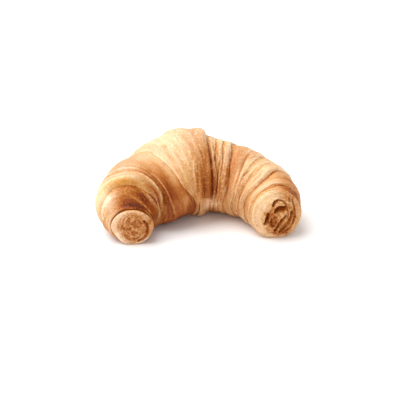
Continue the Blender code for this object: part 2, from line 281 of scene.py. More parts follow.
class Roll:
    """The plain roll, before its strips of dough: its middle line and its girth."""

    def __init__(self, sizes: RollSizes) -> None:
        """Draws the middle line through the stations and measures it.

        Args:
            sizes: the roll's sizes.
        """
        self.sizes = sizes
        last = len(sizes.stations) - 1
        fine = np.linspace(0, last, sizes.steps * last + 1)
        line = smooth_through(np.arange(last + 1), sizes.stations, fine)
        steps = np.linalg.norm(np.diff(line[:, :2], axis=0), axis=1)
        lengths = np.concatenate([[0.0], np.cumsum(steps)])
        line[:, :2] = self._eased(line[:, :2], lengths)
        self.along = lengths - lengths[sizes.crown * sizes.steps]
        self.left_end = float(self.along[0])
        self.right_end = float(self.along[-1])
        heading = np.gradient(line[:, :2], self.along, axis=0)
        heading /= np.linalg.norm(heading, axis=1)[:, None]
        self.table = np.column_stack([line, heading])

    def _eased(self, places: Array, along: Array) -> Array:
        """Evens out the bends of the middle line, which runs on straight past its ends.

        Args:
            places: the line's x and y.
            along: the length at each of them.

        Returns:
            The evened x and y.
        """
        easing, step = self.sizes.easing, self.sizes.easing_step
        reach = 3 * easing
        even = np.arange(along[0] - reach, along[-1] + reach + step, step)
        weights = np.exp(-0.5 * (np.arange(-reach, reach + step, step) / easing) ** 2)
        weights /= weights.sum()
        result = []
        for place in places.T:
            start_slope = (place[4] - place[0]) / (along[4] - along[0])
            end_slope = (place[-1] - place[-5]) / (along[-1] - along[-5])
            before = np.minimum(even - along[0], 0.0) * start_slope
            after = np.maximum(even - along[-1], 0.0) * end_slope
            extended = np.interp(even, along, place) + before + after
            result.append(np.interp(along, even, np.convolve(extended, weights, mode="same")))
        return np.stack(result, axis=-1)

    def read(self, along: Array) -> Array:
        """Reads x, y, half width, half height and the heading's x and y along the line."""
        return np.stack([np.interp(along, self.along, column) for column in self.table.T], axis=-1)

    def spotted(
        self, given: tuple[Spot, ...], along: Array, round_deg: Array
    ) -> Array:
        """Adds up what spots give to places on the roll.

        Args:
            given: the spots.
            along: the places on the middle line.
            round_deg: the angles about it.

        Returns:
            The sum at each place.
        """
        total = np.zeros(np.broadcast(along, round_deg).shape)
        for spot in given:
            turned = turn_from(round_deg, spot.round_deg) / spot.spread
            total += spot.amount * np.exp(-(((along - spot.along) / spot.reach) ** 2) - turned**2)
        return total

    def unevenness(self, along: Array, round_deg: Array) -> Array:
        """Finds how far the slow swelling and the soft hollows stand out.

        Args:
            along: places on the middle line.
            round_deg: the angles about it.

        Returns:
            How far the dough stands out at each place.
        """
        place = (along - self.left_end) / (self.right_end - self.left_end)
        turn = np.radians(round_deg)
        swell = np.zeros(np.broadcast(along, round_deg).shape)
        for height, waves_along, waves_round, phase in self.sizes.swells:
            swell += height * np.sin(2 * np.pi * waves_along * place + waves_round * turn + phase)
        still = self.sizes.still_share
        swell *= smooth_step(place, 0.0, still) * smooth_step(place, 1.0, 1 - still)
        return swell - self.spotted(self.sizes.dents, along, round_deg)

    def point(
        self,
        along: Array,
        round_deg: Array,
        rise: Array,
        radius_share: float | Array = 1.0,
        push: float | Array = 0.0,
        floor: float | Array = 0.0,
    ) -> Array:
        """Places points on the roll.

        Args:
            along: where they are on the middle line.
            round_deg: the angle about it.
            rise: how far they stand off the plain roll.
            radius_share: the share of the radius at which they are drawn in.
            push: how far they are pushed along the middle line.
            floor: the lowest height they may have.

        Returns:
            Their x, y and z in the object's own millimetres.
        """
        sizes = self.sizes
        x, y, half_width, half_height, head_x, head_y = np.moveaxis(self.read(along), -1, 0)
        lifted = smooth_step(along - self.left_end, sizes.tip_lift_length, 0.0)
        middle = half_height * (1 - mix(sizes.sunk_share, sizes.tip_sunk_share, lifted))
        turn = np.radians(round_deg)
        rise = rise + self.unevenness(along, round_deg)
        sideways = (half_width + rise) * radius_share * np.cos(turn)
        upwards = (half_height + rise) * radius_share * np.sin(turn)
        across = x + head_y * sideways + head_x * push - FOOTPRINT_MIDDLE[0]
        inward = y - head_x * sideways + head_y * push - FOOTPRINT_MIDDLE[1]
        level = np.maximum(middle + upwards, floor)
        return np.stack(np.broadcast_arrays(across, inward, level), axis=-1)


class FreeEdge(Enum):
    """Which edge of a strip lies open, over its neighbour."""

    LEFT = "left"
    RIGHT = "right"
    BOTH = "both"


LEFT, RIGHT, BOTH = FreeEdge


@dataclass(frozen=True)
class Strip:
    """A strip of dough wound round the roll.

    starts: the place of its start along the roll at each of the edge angles.
    rise: how far it stands off the plain roll at its start and at its end.
    free: the edge that lies open.
    step: how far that edge stands above the neighbour that it lies on.
    lips: how thick the dough is at its left and its right edge.
    ease: how far the dough leans up to a neighbour that is higher.
    torn: how ragged the open edge is.
    streak: how strongly its layers show.
    rough: how crumbly its skin is.
    bake_top, bake_and_shade_bay: how brown it is at its start and its end, from 0 to 1, on top
    and where it faces the bay; the extra brown towards the bay is partly baking and partly
    painted shade on the side turned away from the light.
    bake_lip: how much browner it is close to its open edge.
    fade: the share of its step and its lip that is lost where it faces the bay.
    """

    name: str
    starts: tuple[float, ...]
    rise: Pair
    free: FreeEdge
    step: float
    lips: Pair
    ease: float
    torn: float
    streak: float
    rough: float
    bake_top: Pair
    bake_and_shade_bay: Pair
    bake_lip: float = 0.0
    fade: float = 0.0


@dataclass(frozen=True)
class Wrinkle:
    """A fold that runs over the dough, or a crease where its height is below 0.

    bake: how much darker it is painted than the skin about it; where it has height, that is
    painted shade in a crease and, below 0, a painted highlight on a fold.
    path: the places that it passes, along the roll and round it.
    """

    height: float
    width: float
    bake: float
    path: tuple[Pair, ...]


def wrinkles(*rows: tuple[float | Pair, ...]) -> tuple[Wrinkle, ...]:
    """Makes a wrinkle of each row: its height, width and bake, then the places it passes."""
    return tuple(Wrinkle(*row[:3], row[3:]) for row in rows)


@dataclass(frozen=True)
class WrinkleSizes:
    """The folds and creases that show on each part of the roll.

    dots: how many points each place of a path gets.
    margin: so far from a strip, a fold doesn't reach it.
    uneven: how uneven their strength is.
    """

    left_arm: tuple[Wrinkle, ...] = wrinkles(
        (0.3, 1.6, -0.14, (-68.6, 150), (-69, 125), (-69, 100), (-68.3, 80), (-67, 64)),
        (0.5, 1.5, -0.26, (-53.2, 58), (-51.6, 43), (-49.8, 34), (-47.6, 24), (-45.4, 14),
         (-42.8, 1), (-40.8, -11), (-39.3, -20)),
        (-0.5, 1, 0.2, (-54.8, 48), (-52.8, 36), (-50, 24), (-47.4, 12), (-43.8, -4), (-41.5, -16)),
        (0.8, 1.8, -0.32, (-63.4, 78), (-63.8, 66), (-64.8, 54), (-65.6, 44), (-65.4, 34),
         (-64.5, 24), (-63.2, 12), (-60.6, -2), (-56.5, -18)),
        (-0.7, 1.3, 0.24, (-60, 72), (-60.5, 55), (-60, 36), (-57, 18), (-53, 2), (-49, -12)),
        (-0.7, 1.2, 0.24, (-68.6, 52), (-68.9, 40), (-69, 28), (-69, 13), (-67, -5), (-63, -18)),
        (0.8, 1.4, -0.34, (-71.6, 66), (-72.2, 57), (-73.2, 47), (-74.5, 38), (-75, 27),
         (-74.2, 13), (-71, -4), (-67.5, -19)),
        (-0.7, 2, 0.14, (-75, 70), (-76.4, 58), (-77.8, 46), (-79, 34), (-79.6, 20)),
        (0.4, 0.8, -0.22, (-78.6, 92), (-79.6, 78), (-80.3, 66), (-81, 56), (-81.8, 46),
         (-82.2, 36), (-82.2, 24)),
        (0.4, 0.8, -0.1, (-61.5, 140), (-61, 125), (-60.5, 110), (-60, 95), (-58.5, 80)),
        (-0.3, 0.7, 0.08, (-63, 145), (-63, 125), (-62.5, 108), (-62, 95)),
        (0.4, 0.9, -0.1, (-65, 155), (-65.6, 130), (-65.6, 108), (-65.2, 88), (-64.5, 72)),
        (-0.3, 0.8, 0.1, (-67, 150), (-67.3, 125), (-67.2, 105), (-66.8, 88)),
        (0.3, 1, -0.08, (-58, 122), (-57.5, 107), (-56.7, 96), (-55.5, 84)),
    )
    crown: tuple[Wrinkle, ...] = wrinkles(
        (0, 4, -0.1, (-42, 115), (-37.8, 84), (-36.4, 60), (-34.6, 38), (-31.5, 15), (-25, -8)),
        (0.5, 1, -0.1, (-25.7, 98), (-28, 80), (-29.2, 66), (-29.7, 53), (-29.5, 38), (-28.5, 24)),
        (-0.35, 0.8, 0.08, (-31, 92), (-32, 75), (-32.3, 58), (-32, 40), (-30.5, 22)),
        (0.35, 1, -0.08, (-20, 100), (-20.7, 83), (-22.5, 67), (-23.5, 52), (-23.7, 39)),
        (-0.6, 0.7, 0.16, (-31, 24), (-28.5, 8), (-24.5, -8), (-20, -22)),
        (0.6, 0.9, -0.2, (-16, 46), (-18.7, 38), (-21, 30), (-22.2, 20), (-22.5, 10)),
        (-0.5, 1, 0.1, (-10, 46), (-13, 38), (-16, 28), (-18.5, 16), (-18, 6)),
        (-0.5, 0.9, 0.12, (-3, 60), (-1, 45), (1, 30), (2, 14), (2.5, 2)),
        (-0.8, 1.4, 0.22, (4.6, 108), (5.3, 84), (7.5, 62), (10.6, 44), (13.4, 24), (14.2, 8),
         (13.4, -8)),
        (-0.4, 0.7, 0.1, (30.5, 8), (29.8, -6), (26, -26)),
    )
    pleats: tuple[Wrinkle, ...] = wrinkles(
        (0.5, 0.8, -0.2, (7.2, 96), (9.3, 76), (11.7, 56), (14.2, 42)),
        (-0.9, 0.8, 0.3, (10.6, 80), (11.2, 70)),
        (-0.9, 0.8, 0.3, (13.2, 60), (13.8, 50)),
        (0.5, 0.8, -0.16, (15.5, 84), (17.6, 66), (17.6, 50), (17, 40)),
        (-0.5, 0.7, 0.14, (11.8, 92), (12.8, 66), (15, 52), (17.5, 38)),
        (-0.6, 0.7, 0.16, (17, 79), (20.2, 62), (20, 48), (20.8, 32), (22.5, 18)),
        (0.6, 0.9, -0.2, (18.5, 90), (22.3, 69), (24.3, 53), (25.5, 40), (27, 25)),
        (-1.2, 1, 0.32, (23.6, 90), (26.5, 68), (29.5, 50), (32, 36), (33.5, 20)),
        (0.3, 1.2, -0.06, (26.5, 76), (31, 56), (35, 39), (38, 22)),
    )
    right_arm: tuple[Wrinkle, ...] = wrinkles(
        (-0.6, 0.9, 0.14, (37, 95), (38, 82), (39.5, 70), (42, 58), (45, 45), (48.8, 32)),
        (0.4, 0.9, -0.12, (39.5, 96), (41, 82), (43.3, 69), (46.8, 55), (49.5, 41)),
        (-1, 0.6, 0.28, (49.7, 50), (49.9, 58), (50, 66)),
        (0.4, 0.8, -0.1, (51.3, 48), (51.4, 57), (51.3, 66)),
        (-0.5, 0.7, 0.12, (54.8, 40), (55, 30), (55, 20)),
        (-0.5, 0.8, 0.12, (49.5, 96), (52, 80), (54.5, 65), (55.8, 50), (55.8, 34), (55.8, 17)),
        (0.4, 0.8, -0.1, (53, 96), (56, 82), (59.5, 65), (62, 47), (62.3, 28), (61.8, 11)),
        (-0.5, 0.7, 0.14, (41, 82), (41.3, 91), (41.3, 103), (42.8, 113)),
        (-0.8, 0.9, 0.2, (56, 118), (61.3, 94), (64.5, 79), (67, 62), (67.8, 48), (66.3, 34)),
        (0.5, 0.9, -0.12, (57.5, 100), (61, 82), (64, 68), (65.4, 51), (64.2, 37)),
        (-0.8, 0.9, 0.24, (74.3, 119), (76, 99), (78, 79), (78.3, 60), (78.3, 40), (77.3, 22)),
        (0.5, 1.1, -0.12, (70.3, 105), (71.3, 87), (73.5, 71), (74.5, 55), (74.3, 40), (74, 25)),
        (-0.6, 0.8, 0.1, (73.8, 127), (75, 145), (76, 165)),
        (-0.5, 0.8, 0.16, (66.5, 120), (67.5, 140), (68, 160)),
    )

    dots: int = 10
    margin: float = 4.0
    uneven: float = 0.5

    def all(self) -> tuple[Wrinkle, ...]:
        """Every fold and crease of the roll."""
        return (*self.left_arm, *self.crown, *self.pleats, *self.right_arm)


@dataclass(frozen=True)
class TongueSizes:
    """The tongue: the tip of the rolled triangle, which ends over the crown.

    strip: its sizes as a strip.
    number: the strip beneath it, between whose edges it lies.
    tears: the numbers that set the patterns of its two torn edges.
    fold: where its fold runs, at each of the edge angles.
    fold_rise, fold_share: how high the fold stands, and its half width as a share of the
    tongue's.
    puff: how far its middle swells.
    end: the angles at which it ends and at which it is whole. ragged_deg: how ragged that is.
    hidden: the rise of what goes on beneath its neighbours.
    border: how far before and past the fold its browning changes, as shares of its width.
    border_tear: how ragged that border is.
    plain_share: how much of its browning changes evenly over its width instead.
    """

    strip: Strip = Strip(
        "tongue", (-10, -24, -26.5, -25, -27, -27), (2.75, 4.2), BOTH, 0, (0.3, 6.2), 0, 0.15, 0.9,
        1.2, (0.14, 0.33), (0.46, 0.62)
    )
    number: int = 6
    tears: tuple[int, int] = (31, 32)
    fold: tuple[float, ...] = (-4, -17.5, -15.2, -13.6, -14, -13)
    fold_rise: float = 0.6
    fold_share: float = 0.10
    puff: float = 0.5
    end: Pair = (-17.0, -3.0)
    ragged_deg: float = 3.0
    hidden: float = -1.2
    border: Pair = (0.16, 0.26)
    border_tear: float = 0.14
    plain_share: float = 0.45


@dataclass(frozen=True)
class ReliefSizes:
    """The fine relief of every strip.

    broad, fine, flake: for broad and fine streaks and for flakes, the radius of the noise's
    ring in its cells and how wide a cell is across the strip.
    lump, blister, crumb: how wide one is and how high it stands.
    streak_height, flake_height: how high they stand.
    streak_shares: how much the broad and the fine streaks count.
    least_flake: how far the dough sinks between flakes, beside their height of 1.
    tears: for coarse and fine tears of an edge, how much they count, the radius of the
    noise's ring in its cells, and how far apart the strips lie in it.
    floor_sides: how far from straight down, in degrees, the dough is smooth and is not.
    """

    broad: Pair = (1.6, 3.4)
    fine: Pair = (4.5, 1.3)
    flake: Pair = (8.0, 1.1)
    lump: Pair = (8.0, 0.3)
    blister: Pair = (2.2, 0.16)
    crumb: Pair = (1.5, 0.09)
    streak_height: float = 0.26
    flake_height: float = 0.22
    streak_shares: Pair = (0.62, 0.5)
    least_flake: float = -0.1
    tears: tuple[tuple[float, float, float], ...] = ((1.0, 9.0, 3.7), (0.6, 24.0, 5.1))
    floor_sides: Pair = (20.0, 42.0)


@dataclass(frozen=True)
class ShadeAndBrowning:
    """Where the strips brown and where shade and highlights are painted on them, beyond what
    each strip's own sizes say.

    bay_angles, bay_shares: how far each side of the roll faces the bay.
    streak: how much paler a raised streak is painted, as a painted highlight, and how much
    darker the groove beside it, as painted shade.
    seam, seam_shade_bay, seam_shade_reach: how much darker a strip is painted where a
    neighbour's edge covers it, as painted shade under that edge, how much more towards the
    bay, and how far that goes.
    least_layered: how strong a strip's streaks are before its painted seam shade grows for
    them too.
    edge, edge_highlight_reach: how much paler the very edge of a strip is painted, as a painted
    highlight along its crest, and how far that goes.
    lip_reach: how far a strip's bake_lip goes.
    most, past_most: above this much browning it goes on slower, at this share.
    """

    bay_angles: tuple[float, ...] = (-90.0, -10.0, 25.0, 60.0, 95.0, 180.0, 225.0, 270.0)
    bay_shares: tuple[float, ...] = (1.15, 1.1, 0.95, 0.45, 0.0, 0.35, 0.8, 1.15)
    streak: float = 0.10
    seam: float = 0.05
    seam_shade_bay: float = 0.09
    seam_shade_reach: float = 1.6
    least_layered: float = 0.6
    edge: float = 0.10
    edge_highlight_reach: float = 0.9
    lip_reach: float = 4.5
    most: float = 0.84
    past_most: float = 0.4


@dataclass(frozen=True)
class WrapSizes:
    """The strips in order from the left tip to the right end, and how they lie.

    edge_angles: the angles at which the edges of the strips are placed.
    edge_waves: width, waves round the roll and phase of an edge's slow waves.
    least_band: how narrow a strip may get.
    pale_low, pale_low_share: the angles at which the pale wrap lies low and stands whole
    again under the tongue's tip, and what is left of its rise where it lies low.
    under_share: what is left of every rise where the roll rests.
    fading: along the roll, where the middle strips start to merge at their foot, are merged,
    start to part again and are apart. fading_angles: where that starts and is full.
    fading_share: how much of their rises and folds is lost there.
    fade_angles: where a strip's fade starts and is full.
    last_short: how far before the roll's right end the strips end.
    puff_share, most_puff: how far a strip swells, as a share of its width, and at most.
    tuck, tuck_depth, overlap: how far a strip goes on under or over its neighbour.
    lip_turn, lip_rows: the angles of a lip's roundness, in degrees, and its rows.
    wall, wall_shares, wall_rows: how thick the dough is, and where its inner rows run.
    wall_floor: how high above the floor they stay.
    round_count, row_spacing: how many points go round the roll, and how far rows are apart.
    girth: the mean radius, for patterns that run round the roll.
    """

    edge_angles: tuple[float, ...] = (-30.0, 15.0, 60.0, 105.0, 180.0, 230.0)
    strips: tuple[Strip, ...] = (
        Strip(
            "sleeve_end", (-85.3, -85.6, -85.3, -84.6, -84, -84), (0.9, -0.6), LEFT, 0.7,
            (1.6, 0.8), 2.5, 0.2, 0.6, 1, (0.16, 0.3), (0.62, 0.8)
        ),
        Strip(
            "cuff", (-80.5, -82.9, -80.8, -77.5, -78, -78), (-0.3, -1.7), LEFT, 0.1, (0.4, 0.8), 4,
            0.15, 0.6, 1, (0.28, 0.4), (0.68, 0.8)
        ),
        Strip(
            "third_wrap", (-68, -71, -71.5, -72, -72, -72), (2.1, -0.3), LEFT, 3.5, (6.4, 0.8), 3,
            0.16, 0.8, 0.9, (0.2, 0.26), (0.6, 0.66), 0, 0.88
        ),
        Strip(
            "second_leaf", (-41.8, -50.5, -58.5, -61.2, -62, -61), (0.5, -0.4), LEFT, 0.2,
            (0.5, 0.8), 3, 0.1, 1, 0.6, (0.24, 0.3), (0.7, 0.74), 0, 0.9
        ),
        Strip(
            "second_wrap", (-38.5, -46.3, -54.5, -56.5, -57.3, -56.2), (0.6, -1.5), LEFT, 0.45,
            (1, 0.8), 3.5, 0.2, 0.9, 0.5, (0.34, 0.28), (0.74, 0.7), -0.02
        ),
        Strip(
            "pale_wrap", (-17, -30, -34.8, -39.5, -44, -43), (1.9, 2.6), LEFT, 0.1, (0.5, 0.8), 7,
            0.12, 1, 0.5, (0.14, 0.12), (0.42, 0.42), 0.1
        ),
        Strip(
            "under_tongue", (-10, -24, -26.5, -25, -27, -27), (2.3, 0.8), LEFT, 0, (0.3, 0.8), 3,
            0.15, 0.8, 0.4, (0.3, 0.34), (0.38, 0.4)
        ),
        Strip(
            "first_pleat", (9.5, 13, 6.8, 4.6, 5.6, 8), (-0.9, 0.4), RIGHT, 0.6, (0.8, 0.9), 2,
            0.45, 1.5, 1.5, (0.46, 0.12), (0.74, 0.58), -0.04
        ),
        Strip(
            "second_pleat", (14, 20, 13.5, 10.5, 12.5, 13.5), (-0.6, 0.6), RIGHT, 0.6, (0.8, 0.9),
            2, 0.45, 1.5, 1.5, (0.38, 0.12), (0.64, 0.52), -0.04
        ),
        Strip(
            "third_pleat", (20, 25.5, 20.5, 14.5, 17.5, 18.5), (-0.6, 1.3), RIGHT, 0.7, (0.8, 1.1),
            2.2, 0.35, 1.4, 1.2, (0.42, 0.12), (0.56, 0.44), -0.04
        ),
        Strip(
            "smooth_wrap", (26, 34.5, 27.6, 21, 24.5, 25), (-2.1, 0.8), RIGHT, 0.4, (0.8, 0.8), 3.5,
            0.2, 0.8, 0.7, (0.48, 0.28), (0.48, 0.4), -0.04
        ),
        Strip(
            "fine_leaf", (41, 48, 41.5, 35, 35, 35.5), (-0.6, 0.6), RIGHT, 0.4, (0.8, 0.8), 2.5,
            0.4, 1.1, 1, (0.34, 0.18), (0.46, 0.4), -0.04
        ),
        Strip(
            "finer_leaf", (48, 52, 48.5, 41.5, 42, 42.5), (-0.5, 0.5), RIGHT, 0.4, (0.8, 0.8), 2.5,
            0.4, 1.1, 1, (0.28, 0.16), (0.44, 0.38), -0.04
        ),
        Strip(
            "broad_leaf", (54, 56.5, 55.5, 48.5, 48.5, 49), (-0.5, 1.2), RIGHT, 0.7, (0.8, 1.1), 3,
            0.25, 1, 0.6, (0.26, 0.16), (0.42, 0.36), -0.04
        ),
        Strip(
            "outer_wrap", (62.5, 66, 67, 59, 57.5, 57.5), (-1.9, 0.8), RIGHT, 0.7, (0.8, 1.1), 3,
            0.2, 0.9, 0.6, (0.34, 0.2), (0.44, 0.36), -0.04
        ),
        Strip(
            "last_leaf", (73, 76.5, 77, 75, 73.5, 73), (-0.7, 0.4), RIGHT, 0.6, (0.8, 1.3), 2.5,
            0.2, 0.9, 0.6, (0.36, 0.24), (0.44, 0.36), -0.04
        ),
    )
    tongue: TongueSizes = TongueSizes()
    wrinkles: WrinkleSizes = WrinkleSizes()
    relief: ReliefSizes = ReliefSizes()
    # Browning, with painted seam shade, painted edge highlights and painted streak light among it.
    browning: ShadeAndBrowning = ShadeAndBrowning()
    edge_waves: tuple[tuple[float, int, float], ...] = ((0.45, 3, 1.7), (0.3, 7, 2.9))
    least_band: float = 2.2
    pale_low: Pair = (-30.0, 15.0)
    pale_low_share: float = 0.45
    under_share: float = 0.35
    fading: tuple[float, float, float, float] = (0.0, 12.0, 52.0, 64.0)
    fading_angles: Pair = (18.0, -9.0)
    fading_share: float = 0.85
    fade_angles: Pair = (64.0, 34.0)
    last_short: float = 2.4
    puff_share: float = 0.05
    most_puff: float = 0.6
    tuck: float = 2.4
    tuck_depth: float = 1.4
    overlap: float = 0.6
    lip_turn: Pair = (-70.0, 90.0)
    lip_rows: int = 7
    wall: float = 2.6
    wall_shares: Pair = (0.92, 0.08)
    wall_rows: int = 5
    wall_floor: float = 0.5
    round_count: int = 400
    row_spacing: float = 0.4
    girth: float = 28.0


@dataclass
class Skin:
    """A grid of points for one piece, with how brown and how deep each one is.

    places: x, y and z in mm, by row and column.
    bake: how brown, from 0 to 1, with the painted shade and highlights added in.
    blush: how pink, or how yellow below 0.
    layer: the place in the dough sheet, for patterns that follow it: across and round.
    grain: how crumbly its skin is.
    closed_rows: whether the last row meets the first.
    """

    places: Array
    bake: Array
    blush: Array
    layer: Array
    grain: float
    closed_rows: bool


def flat_mesh(name: str, across: int, along: int, size: float) -> bpy.types.Mesh:
    """Makes a flat grid.

    Args:
        name: the mesh's name.
        across, along: how many faces it has each way.
        size: half its side, in metres.

    Returns:
        The mesh.
    """
    sheet = bmesh.new()
    bmesh.ops.create_grid(sheet, x_segments=across, y_segments=along, size=size)
    mesh = bpy.data.meshes.new(name)
    sheet.to_mesh(mesh)
    sheet.free()
    return mesh


def add_object(name: str, data: bpy.types.ID) -> bpy.types.Object:
    """Makes an object and puts it into the scene.

    Args:
        name: its name.
        data: its mesh, light or camera.

    Returns:
        The object.
    """
    made = bpy.data.objects.new(name, data)
    bpy.context.scene.collection.objects.link(made)
    return made


def make_piece(name: str, skin: Skin, material: bpy.types.Material) -> bpy.types.Object:
    """Bends a flat grid into a piece, joins its seams and gives it its finish.

    Args:
        name: the piece's name.
        skin: where its points go.
        material: its finish.

    Returns:
        The piece, which rides on the cornetto's one body and stands for its solid.
    """
    rows, columns = skin.places.shape[:2]
    row_segments = rows if skin.closed_rows else rows - 1
    mesh = flat_mesh(name, row_segments, columns, 0.5)
    flat = np.empty(len(mesh.vertices) * 3)
    mesh.vertices.foreach_get("co", flat)
    flat = flat.reshape(-1, 3) + 0.5
    row = np.rint(flat[:, 0] * row_segments).astype(int) % rows
    column = np.rint(flat[:, 1] * columns).astype(int) % columns
    mesh.vertices.foreach_set("co", (skin.places[row, column] * MM).ravel())
    grain = np.full(skin.bake.shape, skin.grain)
    for key, values in (("bake", skin.bake), ("blush", skin.blush), ("grain", grain)):
        data = mesh.attributes.new(key, "FLOAT", "POINT").data
        data.foreach_set("value", values[row, column].astype(np.float32))
    layer = mesh.attributes.new("layer", "FLOAT_VECTOR", "POINT").data
    layer.foreach_set("vector", skin.layer[row, column].astype(np.float32).ravel())
    sheet = bmesh.new()
    sheet.from_mesh(mesh)
    bmesh.ops.remove_doubles(sheet, verts=sheet.verts, dist=1e-7)
    bmesh.ops.recalc_face_normals(sheet, faces=sheet.faces)
    sheet.to_mesh(mesh)
    sheet.free()
    mesh.shade_smooth()
    mesh.materials.append(material)
    piece = add_object(name, mesh)
    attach(piece, "root")
    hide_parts(NODE)
    LOG.info("%s: %d faces", name, len(mesh.polygons))
    return piece


# A row of points round the roll: places along it, rises, and 1 if it is on the outside.
Row = tuple[Array, Array, float]
Top = Callable[[Array], Array]


class WrappedDough:
    """The strips of dough that are wound round the roll, each with its open, torn edge."""

    def __init__(self, roll: Roll, sizes: WrapSizes, crust: bpy.types.Material) -> None:
        """Works out where the strips' edges run.

        Args:
            roll: the plain roll beneath.
            sizes: the strips.
            crust: their finish.
        """
        self.roll = roll
        self.sizes = sizes
        self.crust = crust
        self.noise = DoughNoise(11)
        self.round_deg = np.arange(sizes.round_count) * 360.0 / sizes.round_count - 90.0
        self.turn = np.radians(self.round_deg)
        self.ring = np.stack([np.cos(self.turn), np.sin(self.turn)], axis=-1)
        self.facing = (self.round_deg + 90.0) % 360.0 - 90.0
        from_floor = np.abs((self.round_deg - 90.0) % 360.0 - 180.0)
        self.above_base = smooth_step(from_floor, *sizes.relief.floor_sides)
        self.lines = self._edge_lines()
        self.leans = [self._lean(number) for number in range(len(sizes.strips))]

    def _edge(self, starts: tuple[float, ...], number: int) -> Array:
        """Draws one edge of a strip, with its slow waves.

        Args:
            starts: its place along the roll at each of the edge angles.
            number: the strip's number, which shifts the waves.

        Returns:
            Its place along the roll at each angle.
        """
        line = smooth_round(self.sizes.edge_angles, starts, self.round_deg)
        for width, waves, phase in self.sizes.edge_waves:
            line = line + width * np.sin(waves * self.turn + phase * number)
        return line

    def _edge_lines(self) -> list[Array]:
        """Draws every edge, and keeps them in order.

        Returns:
            Where each strip starts at each angle, then the roll's right end.
        """
        sizes, whole = self.sizes, np.ones(self.sizes.round_count)
        lines = [whole * self.roll.left_end]
        for number, strip in enumerate(sizes.strips):
            line = self._edge(strip.starts, number)
            lines.append(np.maximum(line, lines[-1] + sizes.least_band))
        lines.append(whole * (self.roll.right_end - sizes.last_short))
        for n in range(len(lines) - 2, 0, -1):
            lines[n] = np.minimum(lines[n], lines[n + 1] - sizes.least_band)
        return lines[1:]

    def _kept(self, strip: Strip) -> Array:
        """The share of a strip's step and lip that is left at each angle."""
        return 1 - strip.fade * smooth_step(self.facing, *self.sizes.fade_angles)

    def _lean(self, number: int) -> tuple[Array, float]:
        """Finds how the dough leans up or down where a strip starts.

        Args:
            number: the strip's number from the left tip.

        Returns:
            How far it leans at each angle, and over what length.
        """
        sharp = np.zeros(len(self.facing))
        if number == 0:
            return sharp, 1.0
        before, strip = self.sizes.strips[number - 1 : number + 1]
        if strip.free is LEFT:
            sharp = strip.step * self._kept(strip)
        if before.free is RIGHT:
            sharp = -before.step * self._kept(before)
        whole = strip.rise[0] - before.rise[1]
        return whole - sharp, strip.ease if strip.free is LEFT else before.ease

    def _clear(self, along: Array) -> Array:
        """Finds how clearly the folds show.

        Args:
            along: places along the roll, by row and angle.

        Returns:
            1, but less where the middle strips merge at their foot.
        """
        start, full, waning, end = self.sizes.fading
        merged = smooth_step(along, start, full) * smooth_step(along, end, waning)
        facing = smooth_step(self.facing, *self.sizes.fading_angles)
        return 1 - self.sizes.fading_share * merged * facing

    def _height(self, number: int, along: Array) -> Array:
        """Finds how far a strip's top stands off the plain roll.

        Args:
            number: the strip's number from the left tip.
            along: places along the roll, by row and angle.

        Returns:
            The rise at each place.
        """
        sizes = self.sizes
        start, end = self.lines[number], self.lines[number + 1]
        inside = np.clip((along - start) / (end - start), 0.0, 1.0)
        puff = np.minimum((end - start) * sizes.puff_share, sizes.most_puff)
        height = mix(*sizes.strips[number].rise, inside) + 4 * puff * inside * (1 - inside)
        if number == sizes.tongue.number - 1:
            whole = smooth_step(self.facing, *sizes.pale_low)
            height = height * mix(sizes.pale_low_share, 1, whole)
        for other, (lean, length) in enumerate(self.leans):
            passed = smooth_step(along, self.lines[other] - length, self.lines[other] + length)
            height = height + lean * (passed - (1.0 if other <= number else 0.0))
        return height * mix(sizes.under_share, 1, self.above_base) * self._clear(along)

    def _banded(self, across: Array, cells: float) -> Array:
        """Places in noise, read round a ring whose radius is so many of its cells."""
        ring = np.broadcast_to(self.ring * cells, (*across.shape, 2))
        return np.concatenate([ring, across[..., None]], axis=-1)

    def _torn(self, number: int, torn: float) -> Array:
        """Tears an open edge.

        Args:
            number: the number that sets the edge's pattern.
            torn: how ragged it is.

        Returns:
            How far it is set back at each angle.
        """
        row = np.ones(len(self.ring)) * number
        tears = sum(
            share * self.noise.at(self._banded(row * apart, cells))
            for share, cells, apart in self.sizes.relief.tears
        )
        return torn * tears * self.above_base

    def _lip(self, edge: Array, half: Array, inward: float, top: Top) -> list[Row]:
        """The rows round an open edge, from beneath it up to its top.

        Args:
            edge: where the edge runs, at each angle.
            half: half the dough's thickness there.
            inward: 1 if the strip lies to the right of the edge, else -1.
            top: gives the rise of the strip's top at places along the roll.

        Returns:
            The rows, without the last one on top.
        """
        rows = []
        for angle in np.radians(np.linspace(*self.sizes.lip_turn, self.sizes.lip_rows)[:-1]):
            along = edge + inward * half * (1 - math.cos(angle))
            rows.append((along, top(along) - half + half * math.sin(angle), 1.0))
        return rows

